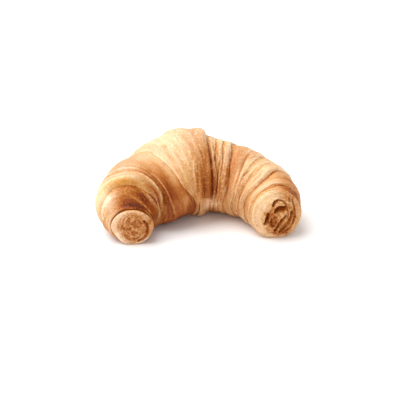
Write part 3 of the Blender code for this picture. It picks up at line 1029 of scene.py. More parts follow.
    def _loop(
        self, strip: Strip, start: Array, end: Array, top: Top
    ) -> tuple[Array, Array, Array]:
        """The loop of rows round a strip's thickness, from its left edge over its top and back.

        Args:
            strip: the strip.
            start: its start at each angle.
            end: its end at each angle.
            top: gives the rise of its top at places along the roll.

        Returns:
            For each row and angle: the place along the roll, the rise, and 1 where the row is
            on the outside of the dough, else 0.
        """
        sizes, width = self.sizes, end - start
        half_left = self._clear(start) * self._kept(strip) * strip.lips[0] / 2
        half_right = self._clear(end) * strip.lips[1] / 2
        if strip.free is RIGHT:
            half_left = np.zeros_like(width)
            under, over = start - sizes.tuck, start - sizes.overlap
            rows = [(under, top(start) - sizes.tuck_depth, 0.0), (over, top(over), 1.0)]
        else:
            rows = self._lip(start, half_left, 1.0, top)
        if strip.free is LEFT:
            half_right = np.zeros_like(width)
        count = max(6, int(np.quantile(width, 0.8) / sizes.row_spacing))
        for share in np.linspace(0.0, 1.0, count):
            along = start + half_left + (width - half_left - half_right) * share
            rows.append((along, top(along), 1.0))
        if strip.free is LEFT:
            under, over = end + sizes.tuck, end + sizes.overlap
            rows += [(over, top(over), 1.0), (under, top(end) - sizes.tuck_depth, 0.0)]
        else:
            rows += self._lip(end, half_right, -1.0, top)[::-1]
        for share in np.linspace(*sizes.wall_shares, sizes.wall_rows):
            along = start + width * share
            rows.append((along, top(along) - sizes.wall, 0.0))
        alongs, rises, outer = (np.array(part) for part in zip(*rows, strict=True))
        return alongs, rises, np.broadcast_to(outer[:, None], alongs.shape)

    def _relief(
        self, strip: Strip, number: int, gap: Array, places: Array
    ) -> tuple[Array, Array]:
        """The layers' fine streaks, lumps, blisters, crumbs and flakes.

        Args:
            strip: the strip.
            number: its number, which sets its own pattern.
            gap: the distance from the open edge.
            places: the points themselves.

        Returns:
            How far the surface rises, and the streaks alone, from about -1 to 1.
        """
        sizes, offset = self.sizes.relief, number * 4.3
        broad, fine, flaky = (
            self.noise.at(self._banded(gap / width + offset, cells))
            for cells, width in (sizes.broad, sizes.fine, sizes.flake)
        )
        lumps, blisters, crumbs = (
            self.noise.at(places / width + offset)
            for width, _ in (sizes.lump, sizes.blister, sizes.crumb)
        )
        streaks = sizes.streak_shares[0] * broad + sizes.streak_shares[1] * fine
        rough = sizes.blister[1] * np.maximum(blisters, 0.0) ** 2 + sizes.crumb[1] * crumbs
        rough = rough + sizes.flake_height * np.maximum(flaky, sizes.least_flake)
        rise = sizes.streak_height * strip.streak * streaks + sizes.lump[1] * lumps
        rise = rise + strip.rough * rough
        return rise * self.above_base, streaks

    def _wrinkled(self, along: Array) -> tuple[Array, Array]:
        """The folds and creases at places along the roll.

        Args:
            along: the places, by row and angle.

        Returns:
            How far each place rises, and how much darker it is painted: painted shade in the
            creases and a painted highlight on the folds.
        """
        rise = np.zeros(along.shape)
        bake = np.zeros(along.shape)
        per_degree = np.radians(self.roll.read(along)[..., 2:4].mean(axis=-1))
        sizes = self.sizes.wrinkles
        first, last = along.min() - sizes.margin, along.max() + sizes.margin
        for number, wrinkle in enumerate(sizes.all()):
            stops, places, angles = smooth_path(wrinkle.path, sizes.dots * len(wrinkle.path))
            if places.max() < first or places.min() > last:
                continue
            spot = np.stack([stops * 2.3, np.full_like(stops, number * 1.7), stops * 0.4], axis=-1)
            taper = np.sin(np.pi * np.linspace(0.04, 0.96, len(stops))) ** 0.5
            taper = taper * (1 + sizes.uneven * self.noise.at(spot))
            nearest = np.full(along.shape, np.inf)
            strength = np.zeros(along.shape)
            for place, angle, share in zip(places, angles, taper, strict=True):
                aside = turn_from(self.round_deg, angle) * per_degree
                away = (along - place) ** 2 + aside**2
                strength = np.where(away < nearest, share, strength)
                nearest = np.minimum(away, nearest)
            effect = strength * np.exp(-nearest / wrinkle.width**2)
            rise += wrinkle.height * effect
            # Painted shade in the creases and a painted highlight along the folds.
            bake += wrinkle.bake * effect
        return rise, bake

    def _finish(
        self,
        strip: Strip,
        number: int,
        rows: tuple[Array, Array, Array],
        share: Array,
        gap: Array,
        covered: Array,
    ) -> bpy.types.Object:
        """Adds a strip's relief, its browning and its painted shade and highlights to its rows
        and makes the piece.

        Args:
            strip: the strip.
            number: its number.
            rows: the loop of rows, as _loop gives it.
            share: the share of the strip's width at each point.
            gap: the distance from the open edge.
            covered: the distance from the edge that a neighbour covers.

        Returns:
            The piece.
        """
        along, rise, outer = rows
        roll, browning, at = self.roll, self.sizes.browning, self.round_deg
        relief, streaks = self._relief(strip, number, gap, roll.point(along, at, rise))
        # The folds' relief, and their painted shade and highlights.
        folds, fold_shade_and_highlight = self._wrinkled(along)
        relief = (relief + folds) * self._clear(along)
        floor = np.where(outer > 0.5, 0.0, self.sizes.wall_floor)
        places = roll.point(along, at, rise + relief * outer, floor=floor)
        bay = np.interp(self.facing, browning.bay_angles, browning.bay_shares)
        # Towards the bay the strip is darker, partly baked browner and partly painted shade on the
        # side turned away from the light.
        bake = mix(mix(*strip.bake_top, share), mix(*strip.bake_and_shade_bay, share), bay)
        # The spots add baked browning together with painted shade and painted highlights.
        bake = bake + roll.spotted(roll.sizes.browning_shade_highlight_spots, along, at) + fold_shade_and_highlight
        bake = bake + strip.bake_lip * ledge(gap, browning.lip_reach)
        # Painted highlight on the raised streaks and painted shade in the grooves between them.
        bake = bake - browning.streak * streaks * strip.streak
        # Painted shade under the edge of the neighbour that covers the strip, stronger towards the
        # bay and on layered strips.
        layered = strip.streak - browning.least_layered
        seam = browning.seam + browning.seam_shade_bay * np.maximum(bay, layered)
        bake = bake + seam * ledge(covered, browning.seam_shade_reach)
        # Painted highlight along the crest of the open edge.
        bake = bake - browning.edge * ledge(gap, browning.edge_highlight_reach)
        bake = bake - (1 - browning.past_most) * np.maximum(bake - browning.most, 0.0)
        arc = self.turn * self.sizes.girth + np.zeros_like(along)
        layer = np.stack([arc, gap, np.full_like(along, number * 17.0)], axis=-1)
        blush = roll.spotted(roll.sizes.blushes, along, at)
        skin = Skin(places, np.clip(bake, 0, 1), blush, layer, strip.rough, True)
        return make_piece(strip.name, skin, self.crust)

    def build_strip(self, number: int) -> bpy.types.Object:
        """Builds one strip of the roll.

        Args:
            number: its number from the left tip.

        Returns:
            The piece.
        """
        strip = self.sizes.strips[number]
        start, end = self.lines[number], self.lines[number + 1]
        tear = self._torn(number, strip.torn)
        first = start + tear if strip.free is LEFT else start
        last = end - tear if strip.free is RIGHT else end
        rows = self._loop(strip, first, last, lambda along: self._height(number, along))
        gap, covered = rows[0] - first, last - rows[0]
        if strip.free is RIGHT:
            gap, covered = covered, gap
        share = np.clip((rows[0] - start) / (end - start), 0, 1)
        if number == self.sizes.tongue.number - 1:
            covered = np.full_like(covered, FAR)
        return self._finish(strip, number, rows, share, np.maximum(gap, 0), covered)

    def build_tongue(self) -> bpy.types.Object:
        """Builds the tongue, with its fold and its free tip.

        Returns:
            The piece.
        """
        sizes = self.sizes.tongue
        tears = [self._torn(pattern, sizes.strip.torn) for pattern in sizes.tears]
        start, end = (self.lines[sizes.number + n] + tear for n, tear in enumerate(tears))
        fold = (self._edge(sizes.fold, sizes.number + 1) - start) / (end - start)

        def top(along: Array) -> Array:
            """Finds the tongue's rise, sunk below its ragged tip.

            Args:
                along: places along the roll, by row and angle.

            Returns:
                The rise at each place.
            """
            share = np.clip((along - start) / (end - start), 0.0, 1.0)
            spot = np.stack([share * 5.0, share, np.full_like(share, 2.7)], axis=-1)
            facing = self.facing + sizes.ragged_deg * self.noise.at(spot)
            crease = sizes.fold_rise * np.exp(-(((share - fold) / sizes.fold_share) ** 2))
            full = mix(*sizes.strip.rise, share) + crease + 4 * sizes.puff * share * (1 - share)
            return mix(sizes.hidden, full, smooth_step(facing, *sizes.end))

        rows = self._loop(sizes.strip, start, end, top)
        share = np.clip((rows[0] - start) / (end - start), 0, 1)
        ragged = sizes.border_tear * self.noise.layered(self._banded(share * 6.0, 7.0), 3)
        low, high = fold - sizes.border[0], fold + sizes.border[1]
        share = mix(smooth_step(share + ragged, low, high), share, sizes.plain_share)
        gap = np.maximum(np.minimum(rows[0] - start, end - rows[0]), 0)
        far = np.full_like(gap, FAR)
        return self._finish(sizes.strip, sizes.tears[0], rows, share, gap, far)

    def build(self) -> list[bpy.types.Object]:
        """Builds every strip, then the tongue over them."""
        pieces = [self.build_strip(number) for number in range(len(self.sizes.strips))]
        return [*pieces, self.build_tongue()]


@dataclass(frozen=True)
class Groove:
    """A gap between two turns of dough in an end face.

    path: places on the face, from the roll's middle towards angle 0 and upwards.
    """

    depth: float
    width: float
    path: tuple[Pair, ...]


@dataclass(frozen=True)
class FacePatch:
    """A soft-edged part of an end face: its middle and half size.

    out: how far it stands out.
    bake: how much browner it is; where a patch lies back, that brown is painted shade in the
    pocket, and where it stands out and is paler, the paleness is a painted highlight.
    """

    middle: Pair
    half: Pair
    out: float
    bake: float


@dataclass(frozen=True)
class FaceSizes:
    """One end of the roll.

    bulge, roundness: how far the face domes and how late it falls away to the rim.
    rim_rise, rim_radius: how far the rim stands off the roll, and how round it is.
    outline: how far the rim is drawn out at some angles round the roll.
    neck, neck_sunk: how far the end goes on inside the roll, and how far beneath its skin.
    crumb_middle, crumb_half: where the open crumb is, inside the smooth outer turn.
    crumb_edge: the shares of that size at which the crumb ends and at which it is full.
    step: how far the crumb lies behind the outer turn.
    swirl: the middle of the fine layers; turn_spacing, turn_height: their size.
    crumb, crumb_size: how rough and how coarse the crumb is.
    patches: parts that stand out or lie back, and are paler or browner, partly as painted
    light.
    neck_painted_shade, bake_ring, bake_crumb, gap_painted_shade: how brown the ring and the
    crumb are, and how dark the neck and the deepest gaps are painted, as painted shade in the
    crevice round the neck and down in the gaps.
    turn_bake, crumb_bake: how much paler what stands out of them is painted, as a painted
    highlight on the raised turns and crumb and painted shade where they sink.
    gap_depth: the depth at which a gap's painted shade is at its darkest.
    gap_walls: from a gap's middle, in its widths, where it ends and where it is deepest.
    gap_ends, gap_uneven: its width at its ends, as a share, and how uneven its width is.
    lip_share, most_lip: how high the lips beside a gap stand, as a share of its depth, and
    at most. lip_place, lip_width: where they are and how wide, in its widths.
    calm_relief, calm_browning: the shares of both that are left on the outer turn.
    rim_calm: the shares of the radius between which all relief dies away to the rim.
    warp, warp_size: how far the fine layers are bent, in turns, and how coarsely.
    edge_ragged, edge_size: how ragged the crumb's edge is, and how coarsely.
    patch_edge, patch_ragged: where a patch ends and is full, in its half sizes, and how
    ragged it is.
    neck_lumps: how high and how wide the lumps on the neck are.
    blush: how pink it is, or how yellow below 0.
    seed: the draw of its crumb.
    """

    name: str
    at_left: bool
    seed: int
    bulge: float
    roundness: float
    rim_rise: float
    outline: tuple[Pair, ...]
    rim_radius: float
    neck: float
    crumb_middle: Pair
    crumb_half: Pair
    crumb_edge: Pair
    step: float
    swirl: Pair
    turn_spacing: float
    turn_height: float
    crumb: float
    grooves: tuple[Groove, ...]
    patches: tuple[FacePatch, ...]
    neck_painted_shade: float
    bake_ring: float
    bake_crumb: float
    gap_painted_shade: float
    blush: float
    turn_bake: float = 0.05
    crumb_bake: float = 0.44
    crumb_size: float = 2.6
    gap_depth: float = 2.8
    gap_walls: Pair = (1.8, 0.1)
    gap_ends: float = 0.35
    gap_uneven: float = 0.35
    lip_share: float = 0.22
    most_lip: float = 0.5
    lip_place: float = 2.3
    lip_width: float = 0.8
    calm_relief: float = 0.15
    calm_browning: float = 0.3
    rim_calm: Pair = (0.98, 0.90)
    warp: float = 0.9
    warp_size: float = 6.0
    edge_ragged: float = 0.10
    edge_size: float = 5.0
    patch_edge: Pair = (1.25, 0.6)
    patch_ragged: float = 0.2
    neck_sunk: float = 1.2
    neck_lumps: tuple[Pair, ...] = ((0.3, 6.0), (0.15, 1.8))
    rows: int = 110
    columns: int = 320


KNOB = FaceSizes(
    name="left_knob", at_left=True, seed=23, bulge=1.6, roundness=3, rim_rise=0, rim_radius=1.8,
    neck=12, crumb_middle=(-0.3, 0.2), crumb_half=(12, 11.6), crumb_edge=(1.12, 0.8), step=0.5,
    swirl=(1.5, 0.5), turn_spacing=2.4, turn_height=0.22, crumb=0.28, neck_painted_shade=0.6, bake_ring=0.17,
    bake_crumb=0.47, gap_painted_shade=0.74, blush=0.45,
    outline=(
        (-60, 0.2), (-25, -0.8), (15, -0.5), (50, -0.7), (90, -0.6), (135, -1), (180, -1.6),
        (215, -2.2), (250, 0), (280, 0.4),
    ),
    grooves=(
        Groove(
            2.1, 1.05, ((9, 5.5), (10.8, 2.2), (11.5, -1.4), (10.5, -6), (7.4, -8.8), (4.3, -10.2))
        ),
        Groove(1.1, 1.1, ((6.8, 3.4), (4.8, 6.6), (2.3, 5.6), (2.5, 2.6), (4.4, 1), (6.4, 1.4))),
        Groove(1.3, 1.1, ((0, -3), (1.8, -4), (3.8, -3.6))),
        Groove(1, 1.1, ((-7.4, 2.6), (-6.4, 0.6), (-4, -0.6), (-1.2, -0.2))),
        Groove(0.9, 1, ((-2, 8.4), (-2.7, 6.2), (-2, 3.8))),
        Groove(0.8, 1, ((-5.4, -5.6), (-1.8, -8), (1.8, -8.6), (4.6, -7.4))),
        Groove(0.7, 0.9, ((8.4, 1.5), (8, -2.5), (5.8, -5.4))),
    ),
    patches=(
        FacePatch((-9, -7.5), (5, 6), 0.3, -0.16),
        FacePatch((1, -12), (8, 3), 0.2, 0.02),
        FacePatch((13.5, -1), (3.6, 9), 0, 0.28),
        FacePatch((0.5, 2.5), (5, 4), -0.3, 0.08),
        FacePatch((4, 13), (9, 4.4), 0, 0.16),
        FacePatch((11.5, 8), (5, 5), 0, 0.2),
        FacePatch((-4.5, -5), (4, 3), -0.2, 0.12),
    ),
)

SCROLL = FaceSizes(
    name="open_scroll", at_left=False, seed=29, bulge=4.4, roundness=2.4, rim_rise=0.05,
    rim_radius=2.2, neck=9, crumb_middle=(-1.5, -1.2), crumb_half=(12, 14.5),
    crumb_edge=(1.06, 0.9), step=0.3, swirl=(0, 1.5), turn_spacing=2.7, turn_height=0.2, crumb=0.35,
    neck_painted_shade=0.44, bake_ring=0.24, bake_crumb=0.44, gap_painted_shade=0.76, blush=-0.1,
    outline=(
        (-60, 0), (0, 0.3), (60, 0.3), (120, -0.2), (180, 0.1), (240, 0),
    ),
    grooves=(
        Groove(2.6, 0.8, ((3.1, 9.4), (2.6, 11), (1.6, 12.4), (-0.5, 13.4))),
        Groove(1.6, 0.6, ((-0.5, 13.4), (-3.1, 12.8), (-5.4, 11), (-6.6, 8.4), (-7.3, 5.4))),
        Groove(3.2, 1.7, ((1, 5), (-1, 6.6), (-3.6, 7.2), (-5.4, 8))),
        Groove(3.2, 1, ((6.3, 4), (6.8, 0.6), (7.7, -3), (8.5, -4.6))),
        Groove(1.5, 0.6, ((3.8, -0.2), (4.2, -3.6), (2.8, -7), (1, -5.2), (0.9, -2.4))),
        Groove(2.8, 1, ((-5.9, 1.6), (-4, -0.6), (-2.6, -3), (-0.5, -7.4), (1.4, -10.4))),
        Groove(1.5, 0.7, ((-8.4, 14), (-9, 11))),
        Groove(2.2, 0.9, ((-10.3, 4), (-9, -1.8), (-5.8, -7.4), (-2.1, -12.2))),
        Groove(1.3, 0.7, ((-10.6, 12.4), (-12.4, 5), (-11.8, -3), (-8.4, -9.6), (-4.3, -13.4))),
        Groove(0.9, 0.6, ((-7.7, 2.6), (-6.6, -1.6), (-4, -6.2), (-1.4, -10.4))),
    ),
    patches=(
        FacePatch((3.3, -1.4), (4, 7), -1.1, 0.24),
        FacePatch((-2.6, 7.2), (4.6, 2.2), -1.2, 0.26),
        FacePatch((-12.6, 0), (4.6, 15), 0, 0.13),
        FacePatch((-16, -1), (3.6, 15), 0, 0.06),
        FacePatch((-10, 17), (9, 5), 0, 0.24),
        FacePatch((-5.2, -12), (9, 4), 0, 0.22),
        FacePatch((7.8, 13), (8, 7), 0.7, -0.03),
        FacePatch((-5, 3.2), (2.6, 3.4), 0.7, -0.04),
        FacePatch((-1, 10.2), (2.8, 1.2), 0.4, -0.08),
    ),
)


# The points of one ring of an end, how brown each one is, and its place in the dough sheet.
Ring = tuple[Array, Array, Array]


class RollEnd:
    """One end of the roll, where the turns of dough show edge on."""

    def __init__(self, roll: Roll, sizes: FaceSizes, crust: bpy.types.Material) -> None:
        """Keeps what the end is built from, and draws its outline.

        Args:
            roll: the plain roll.
            sizes: the end's sizes.
            crust: its finish.
        """
        self.roll = roll
        self.sizes = sizes
        self.crust = crust
        self.noise = DoughNoise(sizes.seed)
        self.round_deg = np.arange(sizes.columns) * 360.0 / sizes.columns - 90.0
        self.turn = np.radians(self.round_deg)
        self.flat = np.zeros(sizes.columns)
        self.end = roll.left_end if sizes.at_left else roll.right_end
        self.outward = -1.0 if sizes.at_left else 1.0
        self.half_width, self.half_height = roll.read(np.array([self.end]))[0, 2:4] + sizes.rim_rise
        angles, drawn = np.array(sizes.outline).T
        first = angles[-1] - 360.0
        self.drawn = smooth_round(angles, drawn, (self.round_deg - first) % 360.0 + first)

    def _cut(self, across: Array, upward: Array) -> tuple[Array, Array]:
        """Cuts the gaps between the turns of dough.

        Args:
            across: places on the face, towards angle 0.
            upward: the same places' heights over the roll's middle.

        Returns:
            How deep the gaps cut at each place, and how high the lips beside them stand.
        """
        sizes = self.sizes
        deepest = np.zeros(across.shape)
        lips = np.zeros(across.shape)
        for groove in sizes.grooves:
            stops, aside, above = smooth_path(groove.path, 32)
            whole = np.sin(np.pi * np.linspace(0.06, 0.94, len(stops))) ** 0.6
            taper = mix(sizes.gap_ends, 1, whole)
            spot = np.stack([stops * 1.7, stops * 0.3, np.full_like(stops, groove.depth)], axis=-1)
            width = groove.width * taper * (1 + sizes.gap_uneven * self.noise.at(spot))
            away = (across[..., None] - aside) ** 2 + (upward[..., None] - above) ** 2
            nearest = np.min(np.sqrt(away) / width, axis=-1)
            depth = groove.depth * smooth_step(nearest, *sizes.gap_walls)
            deepest = np.maximum(deepest, depth)
            height = min(sizes.most_lip, sizes.lip_share * groove.depth)
            aside = (nearest - sizes.lip_place) / sizes.lip_width
            lips = np.maximum(lips, height * np.exp(-(aside**2)))
        return deepest, lips

    def _neck_rings(self) -> list[Ring]:
        """Builds the end's neck.

        Returns:
            Its rings, from inside the roll to the rim.
        """
        sizes, roll, flat, at = self.sizes, self.roll, self.flat, self.round_deg
        back = self.end - self.outward * sizes.neck
        front = self.end - self.outward * sizes.rim_radius
        rings = []
        for share in (0.0, 0.5):
            points = roll.point(flat + back, at, flat - sizes.neck_sunk, share, floor=0.6)
            rings.append((points, flat + 0.5, np.stack([flat, flat, flat], axis=-1)))
        for step in np.linspace(0.0, 1.0, int(sizes.neck / 0.6)):
            along = flat + back + (front - back) * step
            rise = (sizes.rim_rise + self.drawn) * step**0.5 - sizes.neck_sunk * (1 - step)
            plain = roll.point(along, at, rise)
            lumps = sum(high * self.noise.at(plain / wide) for high, wide in sizes.neck_lumps)
            layer = np.stack([at * 0.28, along, flat], axis=-1)
            # Painted shade in the crevice round the neck, darker further in.
            bake = flat + sizes.neck_painted_shade + 0.2 * (1 - step)
            rings.append((roll.point(along, at, rise + lumps * step), bake, layer))
        return rings

    def _face_ring(self, share: float, push: float) -> Ring:
        """Builds one ring of the face.

        Args:
            share: its share of the end's radius.
            push: how far it lies before the rim's edge.

        Returns:
            The ring.
        """
        sizes, flat = self.sizes, self.flat
        across = self.half_width * share * np.cos(self.turn)
        upward = self.half_height * share * np.sin(self.turn)
        plane = np.stack([across, upward, flat], axis=-1)
        off = (plane[:, :2] - sizes.crumb_middle) / sizes.crumb_half
        ragged = sizes.edge_ragged * self.noise.layered(plane / sizes.edge_size + 3.0, 2)
        crumbly = smooth_step(np.hypot(off[:, 0], off[:, 1]) + ragged, *sizes.crumb_edge)
        inside = smooth_step(flat + share, *sizes.rim_calm)
        cut, lips = self._cut(across, upward)
        crumb = self.noise.layered(plane / sizes.crumb_size, 3)
        aside, above = across - sizes.swirl[0], upward - sizes.swirl[1]
        turned = np.hypot(aside, above) / sizes.turn_spacing - np.arctan2(above, aside) / math.tau
        turned = turned + sizes.warp * self.noise.at(plane / sizes.warp_size)
        turns = np.cos(math.tau * turned)
        relief = sizes.turn_height * turns + sizes.crumb * crumb
        out = push - sizes.step * crumbly - cut * inside + lips * inside
        out = out + relief * mix(sizes.calm_relief, 1, crumbly) * inside
        # Painted highlight where the turns and crumb stand out, painted shade where they sink.
        pale = sizes.turn_bake * turns + sizes.crumb_bake * sizes.crumb * crumb
        bake = mix(sizes.bake_ring, sizes.bake_crumb, crumbly)
        bake = bake - pale * mix(sizes.calm_browning, 1, crumbly)
        for patch in sizes.patches:
            aside = (across - patch.middle[0]) / patch.half[0]
            above = (upward - patch.middle[1]) / patch.half[1]
            away = np.hypot(aside, above) + sizes.patch_ragged * crumb
            there = smooth_step(away, *sizes.patch_edge)
            out = out + patch.out * there * inside
            # Partly painted shade in the pockets and a painted highlight on the raised parts.
            bake = bake + patch.bake * there
        rise = flat + sizes.rim_rise + self.drawn
        points = self.roll.point(flat + self.end, self.round_deg, rise, share, self.outward * out)
        # Painted shade in the gaps between the turns, darker the deeper they cut.
        depth = np.clip(cut / sizes.gap_depth, 0.0, 1.0) ** 0.8 * inside
        layer = np.stack([across, upward, flat + 5.0], axis=-1)
        return points, mix(bake, sizes.gap_painted_shade, depth), layer

    def build(self) -> bpy.types.Object:
        """Builds the end: its neck inside the roll, its round rim and its face.

        Returns:
            The piece.
        """
        sizes, rim = self.sizes, self.sizes.rim_radius
        rings = self._neck_rings()
        for angle in np.radians(np.linspace(10.0, 90.0, 9)):
            share = 1 - rim * (1 - math.cos(angle)) / self.half_width
            rings.append(self._face_ring(share, rim * (math.sin(angle) - 1)))
        edge = 1 - rim / self.half_width
        for share in np.linspace(edge, 0.0, sizes.rows)[1:]:
            dome = sizes.bulge * (1 - (share / edge) ** sizes.roundness)
            rings.append(self._face_ring(float(share), dome))
        rings[-1][0][:] = rings[-1][0].mean(axis=0)
        places, bake, layer = (np.array(part) for part in zip(*rings, strict=True))
        blush = np.full_like(bake, sizes.blush)
        skin = Skin(places, np.clip(bake, 0, 1), blush, layer, 1.0, False)
        return make_piece(sizes.name, skin, self.crust)


def add_node(
    tree: bpy.types.NodeTree,
    kind: str,
    inputs: dict[int | str, object],
    output: int | str = 0,
    **settings: object,
) -> bpy.types.NodeSocket:
    """Adds a shader node.

    Args:
        tree: the material's nodes.
        kind: the node's type, without the word that all shader nodes start with.
        inputs: what each of its sockets gets: a value, or the output that feeds it.
        output: which of its outputs is wanted.
        settings: its properties.

    Returns:
        That output.
    """
    node = tree.nodes.new("ShaderNode" + kind)
    for key, value in settings.items():
        setattr(node, key, value)
    for key, value in inputs.items():
        if isinstance(value, bpy.types.NodeSocket):
            tree.links.new(value, node.inputs[key])
        else:
            node.inputs[key].default_value = value
    return node.outputs[output]


def fill_ramp(ramp: bpy.types.NodeSocket, stops: tuple[tuple[float, str], ...]) -> None:
    """Gives a colour ramp its stops.

    Args:
        ramp: its colour output.
        stops: where each stop is, and its colour.
    """
    elements = ramp.node.color_ramp.elements
    while len(elements) < len(stops):
        elements.new(0.5)
    for element, (position, colour) in zip(elements, stops, strict=True):
        element.position = position
        element.color = linear(colour)


@dataclass(frozen=True)
class BakedCrust:
    """Laminated dough, egg-washed and baked: pale gold on top, brown in the hollows, where part
    of the brown is painted shade.

    It gives the eye a dry, flaky skin whose layers show as fine streaks, with a soft sheen
    where the wash has dried on the ridges.

    tones: the colours from hardly baked to scorched; the darker ones also carry the painted
    shade.
    tints: what multiplies them, from yellowish over plain to pinkish dough.
    streak_tone, speck_tone, patch_tone: how far each pattern shifts the tone.
    dots: the value of the crumb pattern at which dots start and are full, and how far they
    shift the tone on crumbly dough; the pale dots are partly painted glints and partly the
    crust's own pale flecks, the dark dots its own specks.
    blush_range: the blush at the first and at the last tint.
    streak_bump: how much streaks count in the bump, where specks count 1.
    glow_depth_mm: how far light goes on inside the crust.
    """

    name: str = "baked_laminated_dough"
    tones: tuple[tuple[float, str], ...] = (
        (0.0, "#F4E1BF"),
        (0.2, "#E5C49E"),
        (0.4, "#CE9D68"),
        (0.6, "#B4702C"),
        (0.8, "#904306"),
        (1.0, "#4E1D00"),
    )
    tints: tuple[tuple[float, str], ...] = ((0.0, "#FFE08C"), (0.5, "#FFF4D8"), (1.0, "#FFF3F6"))
    speck_mm: float = 1.5
    crumb_mm: float = 1.25
    patch_mm: float = 9.0
    streak_mm: float = 1.0
    streak_length_mm: float = 9.0
    streak_tone: float = 0.16
    speck_tone: float = 0.20
    patch_tone: float = 0.18
    dots: tuple[tuple[float, float, float], ...] = ((0.54, 0.70, -0.15), (0.44, 0.30, 0.06))
    blush_range: Pair = (-2.2, 1.8)
    patch_blush: float = 1.6
    roughness: Pair = (0.42, 0.62)
    sheen_level: float = 0.26
    streak_bump: float = 0.4
    bump_strength: float = 0.5
    bump_mm: float = 0.4
    glow: float = 0.22
    glow_radius: tuple[float, float, float] = (1.0, 0.4, 0.15)
    glow_depth_mm: float = 1.2

    def _colour(
        self, tree: bpy.types.NodeTree, patterns: dict[str, bpy.types.NodeSocket]
    ) -> bpy.types.NodeSocket:
        """Adds the nodes that give the crust its colour.

        Args:
            tree: the material's nodes.
            patterns: the patterns and the piece's own attributes.

        Returns:
            The colour.
        """
        streak, speck, patch = (patterns[key] for key in ("streak", "speck", "patch"))
        tone = patterns["bake"]
        strengths = (self.streak_tone, self.speck_tone, self.patch_tone)
        for source, strength in zip((streak, speck, patch), strengths, strict=True):
            inputs = {0: source, 1: strength, 2: tone}
            tone = add_node(tree, "Math", inputs, operation="MULTIPLY_ADD")
        # The pale dots are partly painted glints and partly the crust's own flecks; the dark dots
        # are its own specks.
        for low, high, strength in self.dots:
            inputs = {"Value": patterns["crumb"], "From Min": low, "From Max": high}
            dots = add_node(tree, "MapRange", {**inputs, "To Max": strength})
            inputs = {0: dots, 1: patterns["grain"], 2: tone}
            tone = add_node(tree, "Math", inputs, operation="MULTIPLY_ADD")
        # The patterns' own mean is taken off again, so that they leave the tone's mean alone.
        tone = add_node(tree, "Math", {0: tone, 1: sum(strengths) / 2}, operation="SUBTRACT")
        crust = add_node(tree, "ValToRGB", {"Fac": tone})
        fill_ramp(crust, self.tones)
        inputs = {0: patch, 1: self.patch_blush, 2: patterns["blush"]}
        blush = add_node(tree, "Math", inputs, operation="MULTIPLY_ADD")
        low, high = self.blush_range
        share = add_node(tree, "MapRange", {"Value": blush, "From Min": low, "From Max": high})
        tint = add_node(tree, "ValToRGB", {"Fac": share})
        fill_ramp(tint, self.tints)
        return add_node(tree, "VectorMath", {0: crust, 1: tint}, operation="MULTIPLY")

    def build(self) -> bpy.types.Material:
        """Makes the material from its nodes.

        Returns:
            The material.
        """
        material = bpy.data.materials.new(self.name)
        material.use_nodes = True
        tree = material.node_tree
        place = add_node(tree, "TexCoord", {}, "Object")
        keys = {"bake": "Fac", "blush": "Fac", "grain": "Fac", "layer": "Vector"}
        patterns = {
            key: add_node(tree, "Attribute", {}, output, attribute_name=key)
            for key, output in keys.items()
        }
        stretch = (1 / self.streak_length_mm, 1 / self.streak_mm, 1.0)
        inputs = {0: patterns["layer"], 1: stretch}
        stretched = add_node(tree, "VectorMath", inputs, operation="MULTIPLY")
        for key, vector, scale, detail, rough in (
            ("streak", stretched, 1.0, 3.0, 0.5),
            ("speck", place, 1 / (self.speck_mm * MM), 4.0, 0.6),
            ("patch", place, 1 / (self.patch_mm * MM), 2.0, 0.5),
            ("crumb", place, 1 / (self.crumb_mm * MM), 1.0, 0.5),
        ):
            inputs = {"Vector": vector, "Scale": scale, "Detail": detail, "Roughness": rough}
            patterns[key] = add_node(tree, "TexNoise", inputs)
        low, high = self.roughness
        rough = {"Value": patterns["patch"], "To Min": low, "To Max": high}
        inputs = {0: patterns["streak"], 1: self.streak_bump, 2: patterns["speck"]}
        height = add_node(tree, "Math", inputs, operation="MULTIPLY_ADD")
        inputs = {0: patterns["crumb"], 1: patterns["grain"], 2: height}
        height = add_node(tree, "Math", inputs, operation="MULTIPLY_ADD")
        bump = {"Height": height, "Strength": self.bump_strength, "Distance": self.bump_mm * MM}
        shader = tree.nodes["Principled BSDF"].inputs
        tree.links.new(self._colour(tree, patterns), shader["Base Color"])
        tree.links.new(add_node(tree, "MapRange", rough), shader["Roughness"])
        tree.links.new(add_node(tree, "Bump", bump), shader["Normal"])
        shader["Subsurface Weight"].default_value = self.glow
        shader["Subsurface Radius"].default_value = self.glow_radius
        shader["Subsurface Scale"].default_value = self.glow_depth_mm * MM
        shader["Specular IOR Level"].default_value = self.sheen_level
        return material


@dataclass(frozen=True)
class MattePaper:
    """White seamless paper: it gives the eye an even white ground without gloss."""

    name: str = "white_seamless_paper"
    colour: str = "#F7F7F7"
    roughness: float = 0.9
    sheen_level: float = 0.1

    def build(self) -> bpy.types.Material:
        """Makes the material.

        Returns:
            The material.
        """
        material = bpy.data.materials.new(self.name)
        material.use_nodes = True
        shader = material.node_tree.nodes["Principled BSDF"].inputs
        shader["Base Color"].default_value = linear(self.colour)
        shader["Roughness"].default_value = self.roughness
        shader["Specular IOR Level"].default_value = self.sheen_level
        return material


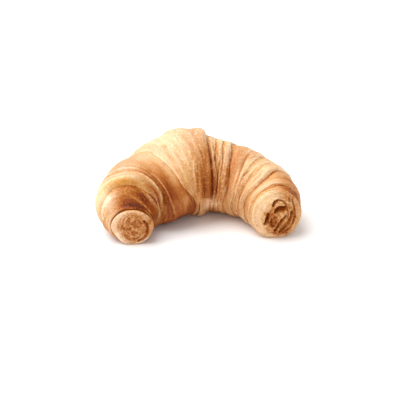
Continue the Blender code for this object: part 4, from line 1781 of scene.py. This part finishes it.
@dataclass(frozen=True)
class Studio:
    """The floor, the soft light from the upper left and behind, and the camera.

    elevation_deg, distance: the camera's height angle and its distance from the aim, in metres.
    focal_pixels: the focal length in pixels of a picture that is picture_width across.
    aim, floor_size: in metres.
    """

    elevation_deg: float = 28.0
    distance: float = 0.994
    focal_pixels: float = 1367.0
    picture_width: float = 400.0
    aim: tuple[float, float, float] = (
        -FOOTPRINT_MIDDLE[0] * MM,
        -FOOTPRINT_MIDDLE[1] * MM,
        0.01284,
    )
    floor_size: float = 6.0
    sun_from: tuple[float, float, float] = (-0.54, 0.10, 1.0)
    sun_angle_deg: float = 60.0
    sun_strength: float = 3.0
    sky_colour: str = "#FFFFFF"
    sky_strength: float = 0.72

    def build_floor(self) -> bpy.types.Object:
        """Lays the paper floor.

        Returns:
            The floor.
        """
        mesh = flat_mesh("paper_floor", 4, 4, self.floor_size / 2)
        mesh.materials.append(MattePaper().build())
        floor = add_object("paper_floor", mesh)
        return floor

    def build_lights(self) -> None:
        """Hangs the soft sun and sets the pale surroundings."""
        sun = bpy.data.lights.new("soft_sun", "SUN")
        sun.energy = self.sun_strength
        sun.angle = math.radians(self.sun_angle_deg)
        holder = add_object("soft_sun", sun)
        holder.rotation_euler = Vector(self.sun_from).to_track_quat("Z", "Y").to_euler()
        world = bpy.data.worlds.new("pale_studio")
        world.use_nodes = True
        sky = world.node_tree.nodes["Background"].inputs
        sky["Color"].default_value = linear(self.sky_colour)
        sky["Strength"].default_value = self.sky_strength
        bpy.context.scene.world = world

    def build_camera(self) -> bpy.types.Object:
        """Sets the camera up at the photograph's angle.

        Returns:
            The camera.
        """
        camera = bpy.data.cameras.new("camera")
        camera.lens = self.focal_pixels * camera.sensor_width / self.picture_width
        holder = add_object("camera", camera)
        angle = math.radians(self.elevation_deg)
        away = Vector((0.0, -math.cos(angle), math.sin(angle))) * self.distance
        holder.location = Vector(self.aim) + away
        holder.rotation_euler = (math.pi / 2 - angle, 0.0, 0.0)
        bpy.context.scene.camera = holder
        return holder

    def build(self) -> None:
        """Builds the whole studio."""
        self.build_floor()
        self.build_lights()
        self.build_camera()
        bpy.context.scene.view_settings.view_transform = "Standard"


def main() -> None:
    """Builds the studio and the cornetto."""
    logging.basicConfig(level=logging.INFO, format="%(name)s: %(message)s")
    Studio().build()
    crust = BakedCrust().build()
    roll = Roll(RollSizes())
    pieces = WrappedDough(roll, WrapSizes(), crust).build()
    pieces.append(RollEnd(roll, KNOB, crust).build())
    pieces.append(RollEnd(roll, SCROLL, crust).build())
    LOG.info("%d pieces", len(pieces))


if __name__ == "__main__":
    main()
